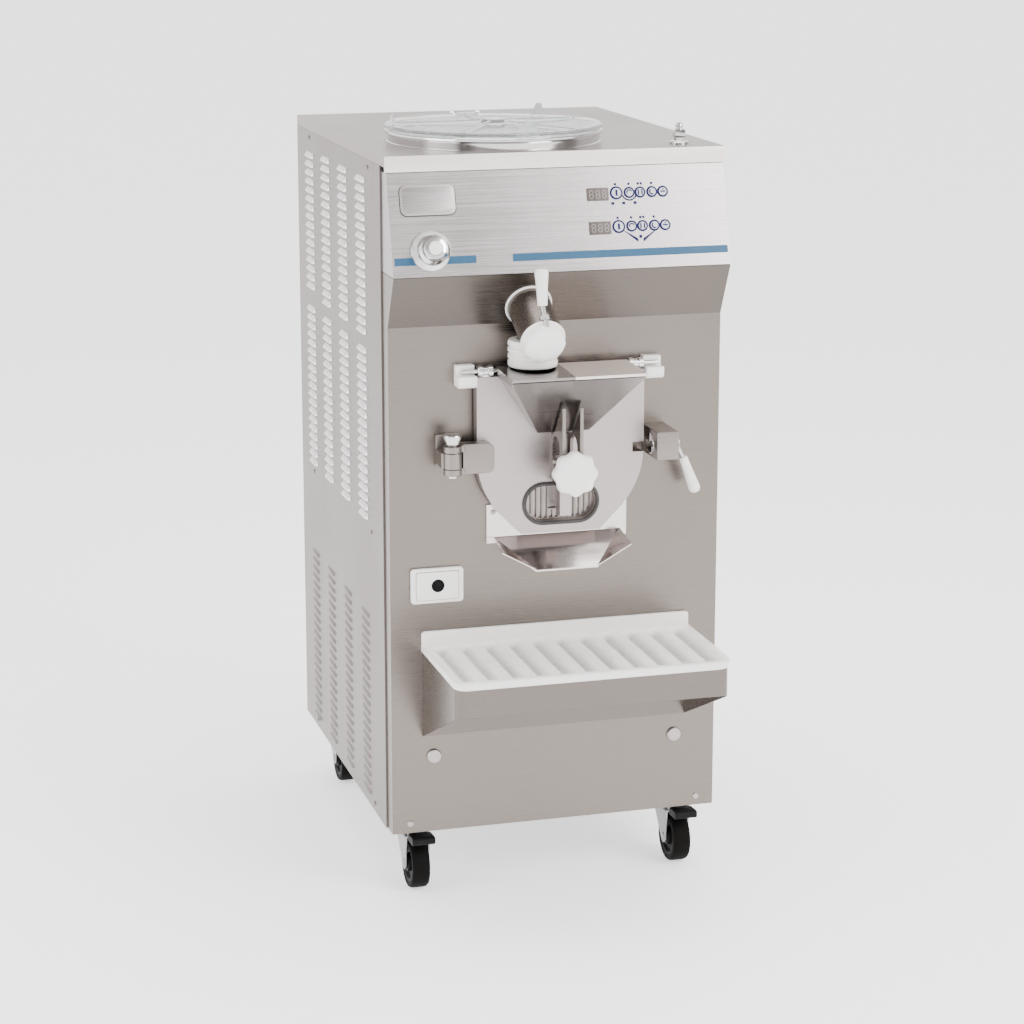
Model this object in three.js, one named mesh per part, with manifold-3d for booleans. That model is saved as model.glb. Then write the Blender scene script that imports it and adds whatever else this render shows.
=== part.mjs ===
// Combined batch freezer for soft ice cream: a floor-standing steel cabinet on casters.
// Millimetres, +Z up, front faces -Y. Solids are modelled with the cabinet front at y = 0
// and moved by FRONT_Y at the end, so that the origin is the centre of the footprint.
import * as THREE from 'three';
import { mergeVertices } from 'three/addons/utils/BufferGeometryUtils.js';
import Module from 'manifold-3d';

const wasm = await Module();
wasm.setup();

// ---------------------------------------------------------------- driving dimensions
const CABINET_W = 650;
const CABINET_D = 790;
const CABINET_BOTTOM = 130;
const CABINET_TOP = 1420;
const SHEET = 2;
const HALF_W = CABINET_W / 2;
const FRONT_HALF_W = 322;
const FRONT_WRAP = 38;

const SHELF_HALF_W = 262;
const SHELF_REACH = 248;
const TRAY_HALF_W = 264;
const TRAY_REACH = 258;
const TRAY_GROOVES = 11;
const TRAY_PITCH = 46.5;

const SLOPE_BOTTOM = 1106;
const SLOPE_TOP = 1205;
const SLOPE_OUT = 50;
const HEADER_BOTTOM = 1206;
const HEADER_TOP = 1389;
const HEADER_OUT = 52;

const BARREL_Z = 863;
const BARREL_R = 128;
const BARREL_WALL = 4;
const BARREL_DEPTH = 420;
const DOOR_R = 162;
const DOOR_INNER = 6;
const DOOR_OUTER = 30;
const DOOR_TOP = 1012;
const DOOR_BOTTOM = 710;
const OUTLET_Z = 766;
const OUTLET_HALF_W = 68;
const OUTLET_HALF_H = 34;

const TANK_X = -62;
const TANK_Y = 214;
const TANK_R = 190;
const TANK_BOTTOM = 1120;
const COLLAR_R = 206;
const COLLAR_TOP = 1444;
const LID_HINGE_Y = 428;
const LID_HINGE_Z = 1448;

const TUBE_X = -60;
const TUBE_OUT = 17.5;
const TUBE_R = 40;
const TUBE_NECK_R = 36.6;
const TUBE_BORE = 34.3;
const TUBE_END = 104;

const SPOUT_X = -61;
const SPOUT_Y = -50;
const ROD_Y = -25;
const ROD_Z = 1023;

const HINGE_X = -215;
const HINGE_Y = -55;
const LATCH_Y = -47.6;
const LATCH_Z = 873;
const LATCH_THROW_Y = -10.7;
const LATCH_THROW_Z = -9;

const CASTER_X = 264;
const CASTER_FRONT_Y = 95;
const CASTER_REAR_Y = 730;
const CASTER_TRAIL = 40;
const WHEEL_R = 50;
const WHEEL_W = 36;

const FRONT_Y = (TRAY_REACH - CABINET_D) / 2;

// ---------------------------------------------------------------- solid helpers
const X_AXIS = new THREE.Vector3(1, 0, 0);
const Y_AXIS = new THREE.Vector3(0, 1, 0);
const Z_AXIS = new THREE.Vector3(0, 0, 1);

function solid(geometry) {
  const bare = geometry.clone();
  bare.deleteAttribute('normal');
  bare.deleteAttribute('uv');
  const welded = mergeVertices(bare, 1e-4);
  const mesh = new wasm.Mesh({
    numProp: 3,
    vertProperties: new Float32Array(welded.attributes.position.array),
    triVerts: new Uint32Array(welded.index.array),
  });
  return new wasm.Manifold(mesh);
}

function join(first, ...rest) {
  return rest.reduce((sum, item) => sum.add(item), first);
}

function cut(first, ...rest) {
  return rest.reduce((body, tool) => body.subtract(tool), first);
}

function box(x0, x1, y0, y1, z0, z1) {
  const g = new THREE.BoxGeometry(x1 - x0, y1 - y0, z1 - z0);
  g.translate((x0 + x1) / 2, (y0 + y1) / 2, (z0 + z1) / 2);
  return solid(g);
}

function shapeOf(points) {
  return new THREE.Shape(points.map(([u, v]) => new THREE.Vector2(u, v)));
}

function extruded(points, length) {
  return new THREE.ExtrudeGeometry(shapeOf(points), { depth: length, bevelEnabled: false });
}

// profile given as (y, z), swept along X
function prismX(points, x0, x1) {
  const g = extruded(points, x1 - x0);
  g.applyMatrix4(new THREE.Matrix4().makeBasis(Y_AXIS, Z_AXIS, X_AXIS));
  g.translate(x0, 0, 0);
  return solid(g);
}

// profile given as (x, z), swept along Y
function prismY(points, y0, y1) {
  const g = extruded(points, y1 - y0);
  g.applyMatrix4(new THREE.Matrix4().makeBasis(X_AXIS, Z_AXIS, new THREE.Vector3(0, -1, 0)));
  g.translate(0, y1, 0);
  return solid(g);
}

// profile given as (x, y), swept along Z
function prismZ(points, z0, z1) {
  const g = extruded(points, z1 - z0);
  g.translate(0, 0, z0);
  return solid(g);
}

function facets(r) {
  if (r < 7) {
    return 12;
  }
  if (r < 60) {
    return r < 15 ? 14 : 20;
  }
  return 36;
}

// cylinder or cone between two points
function rod(from, to, r0, r1 = r0) {
  const segments = facets(Math.max(r0, r1));
  const a = new THREE.Vector3(...from);
  const b = new THREE.Vector3(...to);
  const span = new THREE.Vector3().subVectors(b, a);
  const g = new THREE.CylinderGeometry(r1, r0, span.length(), segments);
  g.applyQuaternion(new THREE.Quaternion().setFromUnitVectors(Y_AXIS, span.clone().normalize()));
  g.translate((a.x + b.x) / 2, (a.y + b.y) / 2, (a.z + b.z) / 2);
  return solid(g);
}

// turned body: profile of (radius, height), height measured from `from` towards `towards`
function turned(profile, from, towards, segments = 20) {
  const g = new THREE.LatheGeometry(profile.map(([r, h]) => new THREE.Vector2(r, h)), segments);
  const dir = new THREE.Vector3(...towards).normalize();
  g.applyQuaternion(new THREE.Quaternion().setFromUnitVectors(Y_AXIS, dir));
  g.translate(...from);
  return solid(g);
}

function ring(from, towards, inner, outer, length, segments = 20) {
  const profile = [[inner, 0], [outer, 0], [outer, length], [inner, length], [inner, 0]];
  return turned(profile, from, towards, segments);
}

// closed solid between two rings of points with the same count
function loft(lower, upper) {
  const count = lower.length;
  const flat = [...lower, ...upper].flat();
  const index = [];
  for (let i = 0; i < count; i += 1) {
    const j = (i + 1) % count;
    index.push(i, j, count + j, i, count + j, count + i);
  }
  for (let i = 1; i < count - 1; i += 1) {
    index.push(0, i + 1, i, count, count + i, count + i + 1);
  }
  const g = new THREE.BufferGeometry();
  g.setAttribute('position', new THREE.Float32BufferAttribute(flat, 3));
  g.setIndex(index);
  return solid(g);
}

// straight-sided funnel, rectangles [x0, x1, y0, y1] at two heights
function funnel(bottom, z0, top, z1) {
  const corners = ([x0, x1, y0, y1], z) => [[x0, y0, z], [x1, y0, z], [x1, y1, z], [x0, y1, z]];
  return loft(corners(bottom, z0), corners(top, z1));
}

function arc(cx, cy, r, startDeg, endDeg, steps) {
  return Array.from({ length: steps + 1 }, (_, i) => {
    const t = THREE.MathUtils.degToRad(startDeg + ((endDeg - startDeg) * i) / steps);
    return [cx + r * Math.cos(t), cy + r * Math.sin(t)];
  });
}

function stadium(halfW, halfH, cz, steps = 10) {
  const c = halfW - halfH;
  return [...arc(c, cz, halfH, -90, 90, steps), ...arc(-c, cz, halfH, 90, 270, steps)];
}

function roundedRect(x0, x1, y0, y1, r, steps = 4) {
  return [
    ...arc(x1 - r, y0 + r, r, -90, 0, steps),
    ...arc(x1 - r, y1 - r, r, 0, 90, steps),
    ...arc(x0 + r, y1 - r, r, 90, 180, steps),
    ...arc(x0 + r, y0 + r, r, 180, 270, steps),
  ];
}

function onCircle(cx, cy, r, deg) {
  const t = THREE.MathUtils.degToRad(deg);
  return [cx + r * Math.cos(t), cy + r * Math.sin(t)];
}

function geometryOf(manifold) {
  const mesh = manifold.getMesh();
  const g = new THREE.BufferGeometry();
  g.setAttribute('position', new THREE.Float32BufferAttribute(mesh.vertProperties, 3));
  g.setIndex(new THREE.Uint32BufferAttribute(mesh.triVerts, 1));
  return g;
}

// ---------------------------------------------------------------- materials
const FINISHES = {
  brushed: { color: 0xb9b2b0, roughness: 0.4, metalness: 0.9 },
  bright: { color: 0xd9d9d9, roughness: 0.16, metalness: 1.0 },
  machined: { color: 0xc7c2bf, roughness: 0.34, metalness: 0.85 },
  zinc: { color: 0xb0b2b4, roughness: 0.42, metalness: 0.8 },
  white: { color: 0xeeebe8, roughness: 0.42, metalness: 0.0 },
  black: { color: 0x1b1b1d, roughness: 0.6, metalness: 0.0 },
  tyre: { color: 0x4b4b4d, roughness: 0.75, metalness: 0.0 },
  seal: { color: 0x55524f, roughness: 0.7, metalness: 0.0 },
  clear: { color: 0xdfe6e8, roughness: 0.12, metalness: 0.0 },
  copper: { color: 0xa9836a, roughness: 0.45, metalness: 0.8 },
};

const machine = new THREE.Group();
machine.name = 'soft_serve_machine';

function add(name, manifold, finish) {
  const g = geometryOf(manifold);
  g.translate(0, FRONT_Y, 0);
  const mesh = new THREE.Mesh(g, new THREE.MeshStandardMaterial(FINISHES[finish]));
  mesh.name = name;
  machine.add(mesh);
}

// ---------------------------------------------------------------- directions on the front
// the underside slope carries the transfer tube at right angles
const slopeLength = Math.hypot(SLOPE_OUT, SLOPE_TOP - SLOPE_BOTTOM);
const tubeDir = new THREE.Vector3(0, -(SLOPE_TOP - SLOPE_BOTTOM) / slopeLength, -SLOPE_OUT / slopeLength);
const tubeUp = new THREE.Vector3(0, tubeDir.z, -tubeDir.y);
const tubeRoot = new THREE.Vector3(
  TUBE_X,
  -TUBE_OUT,
  SLOPE_BOTTOM + (TUBE_OUT * (SLOPE_TOP - SLOPE_BOTTOM)) / SLOPE_OUT,
);

function alongTube(s, rise = 0) {
  return tubeRoot.clone().addScaledVector(tubeDir, s).addScaledVector(tubeUp, rise).toArray();
}

function tubeRod(s0, s1, r) {
  return rod(alongTube(s0), alongTube(s1), r);
}

const headerLength = Math.hypot(HEADER_OUT, HEADER_TOP - HEADER_BOTTOM);
const headerUp = new THREE.Vector3(0, HEADER_OUT / headerLength, (HEADER_TOP - HEADER_BOTTOM) / headerLength);
const headerOut = new THREE.Vector3(0, -headerUp.z, headerUp.y);

function onHeader(x, z, out = 0) {
  const y = -HEADER_OUT + ((z - HEADER_BOTTOM) * HEADER_OUT) / (HEADER_TOP - HEADER_BOTTOM);
  return new THREE.Vector3(x, y, z).addScaledVector(headerOut, out).toArray();
}

// profile in the plane of the header face, (x, distance up the face), from `out0` to `out1`
function headerPrism(points, x, z, out0, out1) {
  const g = extruded(points, out1 - out0);
  g.applyMatrix4(new THREE.Matrix4().makeBasis(X_AXIS, headerUp, headerOut));
  g.translate(...onHeader(x, z, out0));
  return solid(g);
}

// ---------------------------------------------------------------- cabinet
function chassis() {
  const parts = [box(-310, 310, 6, 784, CABINET_BOTTOM, 136)];
  const postX = [-318, 290];
  const postY = [6, 756];
  for (const px of postX) {
    for (const py of postY) {
      const full = box(px, px + 28, py, py + 28, 134, 1372);
      const sx = px < 0 ? px + 3 : px - 3;
      const sy = py < 100 ? py + 3 : py - 3;
      parts.push(full.subtract(box(sx, sx + 28, sy, sy + 28, 136, 1400)));
    }
    const rail = px < 0 ? px + 10 : px;
    parts.push(box(rail, rail + 18, 6, 784, 1369, 1372));
    parts.push(box(rail, rail + 18, 6, 784, 690, 693));
  }
  parts.push(box(-318, 318, 756, 784, 1369, 1372));
  parts.push(box(-300, 300, 44, 440, 690, 693));
  for (const y of [60, 340]) {
    const saddle = prismY([[-120, 692], [120, 692], [120, 800], [-120, 800]], y, y + 4);
    parts.push(saddle.subtract(rod([0, y - 2, BARREL_Z], [0, y + 6, BARREL_Z], 133)));
  }
  for (const y of [CASTER_FRONT_Y, CASTER_REAR_Y]) {
    for (const x of [-CASTER_X, CASTER_X]) {
      parts.push(box(x - 45, x + 45, y - 36, y + 36, 124, 131));
    }
  }
  let body = join(...parts);
  for (const y of [CASTER_FRONT_Y, CASTER_REAR_Y]) {
    for (const x of [-CASTER_X, CASTER_X]) {
      body = body.subtract(rod([x, y, 110], [x, y, 128.5], 8.4));
    }
  }
  return body;
}

function frontPanel() {
  const top = SLOPE_TOP - 0.3;
  const outer = prismX([
    [0, CABINET_BOTTOM], [FRONT_WRAP, CABINET_BOTTOM], [FRONT_WRAP, top],
    [-SLOPE_OUT, top], [0, SLOPE_BOTTOM],
  ], -FRONT_HALF_W, FRONT_HALF_W);
  const inner = prismX([
    [SHEET, CABINET_BOTTOM - 10], [FRONT_WRAP + 10, CABINET_BOTTOM - 10], [FRONT_WRAP + 10, top + 10],
    [-SLOPE_OUT - 3, top + 10], [SHEET, SLOPE_BOTTOM + 0.5],
  ], -FRONT_HALF_W + SHEET, FRONT_HALF_W - SHEET);
  const barrelHole = rod([0, -5, BARREL_Z], [0, 8, BARREL_Z], 142);
  return cut(outer, inner, barrelHole, tubeRod(-30, 30, TUBE_NECK_R + 0.9));
}

const KEY_X = [109, 134, 155, 178, 199];
const KEY_R = [12, 10, 10, 10, 10];
const CONTROL_ROWS = [1341, 1281];

// membrane panel with five keys and a display window
function controlUnit(z) {
  const plate = headerPrism(roundedRect(-82, 82, -18, 18, 4, 2), 132, z, 0.3, 0.9);
  const keys = KEY_X.map((x, i) => rod(onHeader(x, z, 0.6), onHeader(x, z, 1.8), KEY_R[i]));
  const window = headerPrism([[-21, -12], [21, -12], [21, 12], [-21, 12]], 73, z - 1.5, 0.6, 1.6);
  return join(plate, window, ...keys);
}

function headerPanel() {
  const floor = HEADER_BOTTOM + SHEET;
  const outer = prismX([
    [0, HEADER_TOP], [-HEADER_OUT, HEADER_BOTTOM], [FRONT_WRAP, HEADER_BOTTOM], [FRONT_WRAP, HEADER_TOP],
  ], -FRONT_HALF_W, FRONT_HALF_W);
  const inner = prismX([
    [SHEET + 1.5, HEADER_TOP + 5], [-HEADER_OUT + SHEET + 0.6, floor], [-38, floor],
    [-38, HEADER_BOTTOM - 5], [FRONT_WRAP + 5, HEADER_BOTTOM - 5], [FRONT_WRAP + 5, HEADER_TOP + 5],
  ], -FRONT_HALF_W + SHEET, FRONT_HALF_W - SHEET);
  return outer.subtract(inner);
}

function topPanel() {
  const outer = box(-HALF_W, HALF_W, 0, CABINET_D, CABINET_TOP - 30, CABINET_TOP);
  const innerHalf = HALF_W - SHEET;
  const inner = box(-innerHalf, innerHalf, SHEET, CABINET_D - SHEET, CABINET_TOP - 40, CABINET_TOP - SHEET);
  const below = box(-400, 400, SHEET + 0.5, CABINET_D + 10, CABINET_TOP - 40, CABINET_TOP - 20);
  const hole = rod([TANK_X, TANK_Y, CABINET_TOP - 10], [TANK_X, TANK_Y, CABINET_TOP + 10], 192);
  return cut(outer, inner, below, hole);
}

function sidePanel(side) {
  const front = FRONT_WRAP + 1;
  const section = [
    [HALF_W, front], [HALF_W, CABINET_D - 2.4], [HALF_W - SHEET, CABINET_D - 2.4],
    [HALF_W - SHEET, front + 2], [HALF_W - 14, front + 2], [HALF_W - 14, front],
  ].map(([x, y]) => [side * x, y]);
  return prismZ(side > 0 ? section : section.reverse(), CABINET_BOTTOM, CABINET_TOP - 20.4);
}

function rearPanel() {
  let panel = box(-HALF_W, HALF_W, CABINET_D - SHEET, CABINET_D, CABINET_BOTTOM, CABINET_TOP - 20.4);
  for (const z of [190, 230, 270, 310, 350, 390, 430]) {
    panel = panel.subtract(box(20, 240, CABINET_D - 5, CABINET_D + 5, z, z + 14));
  }
  return panel;
}

add('chassis', chassis(), 'zinc');
add('front_panel', frontPanel(), 'brushed');
add('header_panel', headerPanel(), 'brushed');
add('top_panel', topPanel(), 'brushed');
add('left_panel', sidePanel(-1), 'brushed');
add('right_panel', sidePanel(1), 'brushed');
add('rear_panel', rearPanel(), 'brushed');
add('badge_plate', headerPrism(roundedRect(-51, 51, -28, 28, 9), -249, 1340.5, 0.3, 3), 'machined');
add('control_upper', controlUnit(CONTROL_ROWS[0]), 'white');
add('control_lower', controlUnit(CONTROL_ROWS[1]), 'white');

// ---------------------------------------------------------------- rinse tap and hose fitting
const TAP_X = -250;
const TAP_Z = 1251;
add('tap_body', turned([
  [0, 0.3], [37, 0.3], [37, 5], [33, 8], [27, 14], [23, 22], [20, 31], [17, 39],
  [13.3, 40], [13.3, 26], [0, 26],
], onHeader(TAP_X, TAP_Z), headerOut.toArray()), 'bright');
add('tap_button', turned([
  [0, 30.4], [12.5, 30.4], [12.5, 43], [11, 45], [0, 45],
], onHeader(TAP_X, TAP_Z), headerOut.toArray(), 24), 'machined');
add('hose_fitting', turned([
  [0, 0.3], [18, 0.3], [18, 5], [12, 7], [9, 12], [10, 14], [10, 27], [7, 29], [6, 40], [0, 40],
], [255, 58, CABINET_TOP], [0, 0, 1], 16), 'bright');

// ---------------------------------------------------------------- mixing tank
function mixingTank() {
  const wall = rod([TANK_X, TANK_Y, TANK_BOTTOM], [TANK_X, TANK_Y, COLLAR_TOP], TANK_R);
  const rim = rod([TANK_X, TANK_Y, CABINET_TOP + 0.4], [TANK_X, TANK_Y, COLLAR_TOP], COLLAR_R);
  const stub = tubeRod(-70, -24.5, TUBE_NECK_R);
  const ears = [];
  for (const side of [-1, 1]) {
    const x = TANK_X + side * 26;
    ears.push(prismX([
      [400, 1424], [424, 1424], [436, LID_HINGE_Z], [432, LID_HINGE_Z + 7],
      [424, LID_HINGE_Z + 7], [420, LID_HINGE_Z], [416, 1436], [400, 1436],
    ], x - 4, x + 4));
  }
  const pin = rod([TANK_X - 28, LID_HINGE_Y, LID_HINGE_Z], [TANK_X + 28, LID_HINGE_Y, LID_HINGE_Z], 4);
  const bowl = rod([TANK_X, TANK_Y, TANK_BOTTOM + 3], [TANK_X, TANK_Y, COLLAR_TOP + 5], 187);
  const shaftHole = rod([TANK_X, TANK_Y, TANK_BOTTOM - 5], [TANK_X, TANK_Y, TANK_BOTTOM + 5], 10.5);
  const outlet = tubeRod(-80, -20, 30);
  return cut(join(wall, rim, stub), bowl, shaftHole, outlet).add(join(pin, ...ears));
}

// upright fin on the lid's rim: profile of (along the rim, height above the lid)
function lidFin(profile, deg) {
  const t = THREE.MathUtils.degToRad(deg);
  const radial = new THREE.Vector3(Math.cos(t), Math.sin(t), 0);
  const tangent = new THREE.Vector3(-Math.sin(t), Math.cos(t), 0);
  const g = extruded(profile, 5);
  g.applyMatrix4(new THREE.Matrix4().makeBasis(tangent, Z_AXIS, radial));
  g.translate(TANK_X + 194 * radial.x, TANK_Y + 194 * radial.y, COLLAR_TOP + 3);
  return solid(g);
}

function tankLid() {
  const bottom = COLLAR_TOP + 0.5;
  const disc = rod([TANK_X, TANK_Y, bottom], [TANK_X, TANK_Y, bottom + 5], 202);
  const hub = turned([[0, 0], [26, 0], [24, 12], [0, 14]], [TANK_X, TANK_Y, bottom + 4], [0, 0, 1], 16);
  const fins = [
    lidFin([[-16, 0], [16, 0], [5, 31], [-5, 31]], 180),
    lidFin([[-14, 0], [14, 0], [6, 26], [-6, 26]], 48),
    lidFin(arc(0, 0, 23, 0, 180, 10), -87),
  ];
  const knuckle = rod([TANK_X - 20, LID_HINGE_Y, LID_HINGE_Z], [TANK_X + 20, LID_HINGE_Y, LID_HINGE_Z], 8);
  const strap = box(TANK_X - 20, TANK_X + 20, 405, 424, bottom, bottom + 5);
  const bore = rod([TANK_X - 24, LID_HINGE_Y, LID_HINGE_Z], [TANK_X + 24, LID_HINGE_Y, LID_HINGE_Z], 4.4);
  return join(disc, hub, ...fins, knuckle, strap).subtract(bore);
}

function agitator() {
  const shaft = rod([TANK_X, TANK_Y, 1090], [TANK_X, TANK_Y, 1180], 10);
  const boss = rod([TANK_X, TANK_Y, 1126], [TANK_X, TANK_Y, 1180], 20, 14);
  const bar = box(TANK_X - 165, TANK_X + 165, TANK_Y - 5, TANK_Y + 5, 1127, 1147);
  const left = box(TANK_X - 165, TANK_X - 145, TANK_Y - 5, TANK_Y + 5, 1127, 1330);
  const right = box(TANK_X + 145, TANK_X + 165, TANK_Y - 5, TANK_Y + 5, 1127, 1330);
  return join(shaft, boss, bar, left, right);
}

function agitatorGearmotor() {
  const gearbox = box(TANK_X - 45, TANK_X + 45, TANK_Y - 45, TANK_Y + 45, 1040, 1110);
  const motor = rod([TANK_X, TANK_Y + 40, 1075], [TANK_X, TANK_Y + 200, 1075], 42);
  const bore = rod([TANK_X, TANK_Y, 1086], [TANK_X, TANK_Y, 1115], 10.5);
  return gearbox.add(motor).subtract(bore);
}

add('mixing_tank', mixingTank(), 'brushed');
add('tank_lid', tankLid(), 'clear');
add('agitator', agitator(), 'bright');
add('agitator_gearmotor', agitatorGearmotor(), 'zinc');

// ---------------------------------------------------------------- transfer tube and valve
function transferTube() {
  const wall = tubeRod(-24, 20, TUBE_NECK_R).add(tubeRod(0.8, TUBE_END, TUBE_R));
  const port = rod([SPOUT_X, SPOUT_Y, 1060], [SPOUT_X, SPOUT_Y, 1100], 22);
  return cut(wall, tubeRod(-30, TUBE_END + 4, TUBE_BORE), port);
}

const gripFoot = [-62, -116, 1155];
const gripTop = [-62, -108, 1221];
const leverFoot = alongTube(TUBE_END + 13, 36);
const leverHead = [-62, -117.2, 1153];

function valvePlug() {
  const outer = turned([
    [0, -20], [33.6, -20], [33.6, TUBE_END + 0.5], [42, TUBE_END + 0.5], [42, TUBE_END + 4.5],
    [37, TUBE_END + 5], [37, TUBE_END + 20], [34, TUBE_END + 24], [0, TUBE_END + 25],
  ], tubeRoot.toArray(), tubeDir.toArray(), 24);
  const port = rod([SPOUT_X, SPOUT_Y, 1060], [SPOUT_X, SPOUT_Y, 1110], 20);
  return cut(outer, tubeRod(-30, 84, 26), port, rod(leverFoot, leverHead, 5));
}

function valveGrip() {
  const lean = new THREE.Vector3(0, gripTop[1] - gripFoot[1], gripTop[2] - gripFoot[2]);
  const long = lean.length();
  return turned([
    [0, 0.4], [7, 0.4], [9, 3], [9.5, long * 0.4], [12.5, long * 0.8], [12, long - 5], [8, long], [0, long],
  ], gripFoot, lean.toArray(), 24);
}

function valveLever() {
  const hub = tubeRod(TUBE_END, TUBE_END + 26, 37.5);
  const tube = tubeRod(60, TUBE_END + 1, TUBE_R + 0.5);
  return cut(rod(leverFoot, leverHead, 4.5), hub, tube);
}

function spoutCuff() {
  const profile = [[30, 0], [42, 0], [46, 3]];
  for (const h of [14, 28, 42]) {
    profile.push([46, h], [42.5, h + 2], [46, h + 4]);
  }
  profile.push([45, 64], [30, 64], [30, 0]);
  const cuff = turned(profile, [SPOUT_X, SPOUT_Y, 1033], [0, 0, 1], 20);
  return cut(cuff, tubeRod(-40, TUBE_END + 20, TUBE_R + 0.4), tubeRod(TUBE_END - 1, TUBE_END + 30, 43.5));
}

add('transfer_tube', transferTube(), 'brushed');
const sealRing = ring(alongTube(0.3), tubeDir.toArray(), TUBE_R + 0.4, 44.5, 3);
add('tube_seal', sealRing.subtract(box(-120, 0, -0.3, 20, 1080, 1120)), 'white');
add('valve_plug', valvePlug(), 'white');
add('valve_lever', valveLever(), 'bright');
add('valve_grip', valveGrip(), 'white');
add('spout_cuff', spoutCuff(), 'white');

// ---------------------------------------------------------------- freezing cylinder and drive
function freezingCylinder() {
  const shell = rod([0, 8, BARREL_Z], [0, BARREL_DEPTH, BARREL_Z], BARREL_R + BARREL_WALL);
  const flange = rod([0, -5.5, BARREL_Z], [0, 10, BARREL_Z], 140);
  const bore = rod([0, -8, BARREL_Z], [0, BARREL_DEPTH - 8, BARREL_Z], BARREL_R);
  const shaftHole = rod([0, 400, BARREL_Z], [0, 430, BARREL_Z], 14.9);
  return cut(shell.add(flange), bore, shaftHole);
}

function beater() {
  const parts = [rod([0, 6, BARREL_Z], [0, 470, BARREL_Z], 14)];
  for (let i = 0; i < 3; i += 1) {
    const deg = 30 + i * 120;
    const spoke = (r0, r1, half, y0, y1) => {
      const along = onCircle(0, 0, 1, deg);
      const across = onCircle(0, 0, 1, deg + 90);
      const corner = (r, s) => [along[0] * r + across[0] * s, BARREL_Z + along[1] * r + across[1] * s];
      return prismY([corner(r0, -half), corner(r1, -half), corner(r1, half), corner(r0, half)], y0, y1);
    };
    parts.push(spoke(8, 110, 8, 14, 22), spoke(8, 110, 8, 392, 400), spoke(100, 124, 4, 14, 400));
  }
  return join(...parts);
}

function beaterGearmotor() {
  const gearbox = box(-78, 78, 424, 560, BARREL_Z - 78, BARREL_Z + 78);
  const motor = rod([0, 558, BARREL_Z], [0, 715, BARREL_Z], 70);
  const foot = box(-70, 70, 430, 700, 693.4, BARREL_Z - 60);
  const bore = rod([0, 420, BARREL_Z], [0, 474, BARREL_Z], 14.9);
  return join(gearbox, motor, foot).subtract(bore);
}

function compressor() {
  const pot = turned([
    [0, 0], [80, 0], [92, 14], [92, 180], [84, 206], [60, 226], [0, 236],
  ], [-150, 230, 146], [0, 0, 1], 16);
  return pot.add(box(-250, -50, 200, 260, 136.4, 148));
}

function condenser() {
  let core = box(30, 290, 500, 560, 170, 450);
  for (let x = 50; x < 280; x += 60) {
    core = core.subtract(box(x, x + 30, 490, 570, 184, 436));
  }
  const shroud = ring([160, 558, 310], [0, 1, 0], 126, 132, 80, 18);
  const arms = join(box(30.5, 289.5, 630, 634, 302, 318), box(152, 168, 630, 634, 180, 440));
  const inside = rod([160, 629, 310], [160, 635, 310], 131);
  const motor = rod([160, 596, 310], [160, 636, 310], 30);
  const shaft = rod([160, 575, 310], [160, 600, 310], 5);
  const feet = join(box(40, 70, 505, 555, 136.4, 172), box(250, 280, 505, 555, 136.4, 172));
  return join(core, shroud, arms.intersect(inside), motor, shaft, feet);
}

function coolingFan() {
  const parts = [rod([160, 574, 310], [160, 592, 310], 28)];
  for (let i = 0; i < 5; i += 1) {
    const blade = new THREE.BoxGeometry(34, 3, 98);
    blade.rotateZ(0.45);
    blade.translate(0, 0, 70);
    blade.rotateY((i * 2 * Math.PI) / 5);
    blade.translate(160, 583, 310);
    parts.push(solid(blade));
  }
  return join(...parts).subtract(rod([160, 570, 310], [160, 594, 310], 5.4));
}

add('freezing_cylinder', freezingCylinder(), 'bright');
add('beater', beater(), 'bright');
add('beater_gearmotor', beaterGearmotor(), 'zinc');
add('compressor', compressor(), 'black');
add('condenser', condenser(), 'copper');
add('cooling_fan', coolingFan(), 'black');

// ---------------------------------------------------------------- freezer door
function doorPlate() {
  const outline = [
    [DOOR_R, DOOR_TOP], [-DOOR_R, DOOR_TOP],
    ...arc(0, BARREL_Z, DOOR_R, 180, 225, 14),
    [-76.6, DOOR_BOTTOM], [76.6, DOOR_BOTTOM],
    ...arc(0, BARREL_Z, DOOR_R, 315, 360, 14),
  ];
  const plate = prismY(outline, -DOOR_OUTER, -DOOR_INNER);
  const feed = box(-40, 40, -40, 0, 916, 958);
  const outlet = prismY(stadium(OUTLET_HALF_W, OUTLET_HALF_H, OUTLET_Z), -40, 0);
  const pocket = box(-78, 78, -11.7, 0, 724, 857);
  const stemSlot = box(-10, 10, -40, 0, 780, 849);
  const catchNotch = box(140, 170, -40, 0, 854.5, 873.5);
  return cut(plate, feed, outlet, pocket, stemSlot, catchNotch);
}

function hopper() {
  const outer = funnel([-50, 50, -44, -32], 905, [-127, 127, -146, -32], 1020);
  const inner = funnel([-48, 48, -42, -34], 907, [-125, 125, -144, -34], 1021);
  const mouth = box(-40, 40, -40, -30, 916, 958);
  const leaf = prismX([[-30, 1027], [-30, 1032], [-145, 1026.5], [-145, 1021.5]], -127, -8.3);
  const cheek = prismX([[-32, 1015], [-32, 1029], [-144, 1024], [-144, 1015]], -127, -125);
  const spoutHole = rod([SPOUT_X, SPOUT_Y - 22, 1010], [SPOUT_X, SPOUT_Y - 22, 1040], 34);
  return join(cut(outer, inner, mouth), cut(leaf, spoutHole), cheek);
}

function lidFlap() {
  const leaf = prismX([[-33, 1027], [-33, 1032], [-145, 1026.5], [-145, 1021.5]], -7.7, 127);
  const parts = [leaf];
  for (const x of [24, 92]) {
    parts.push(rod([x, ROD_Y, ROD_Z], [x + 20, ROD_Y, ROD_Z], 6.7));
    parts.push(box(x, x + 20, -36, ROD_Y - 2, 1026.5, 1031));
  }
  const bore = rod([0, ROD_Y, ROD_Z], [140, ROD_Y, ROD_Z], 4.4);
  return join(...parts).subtract(bore);
}

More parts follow.
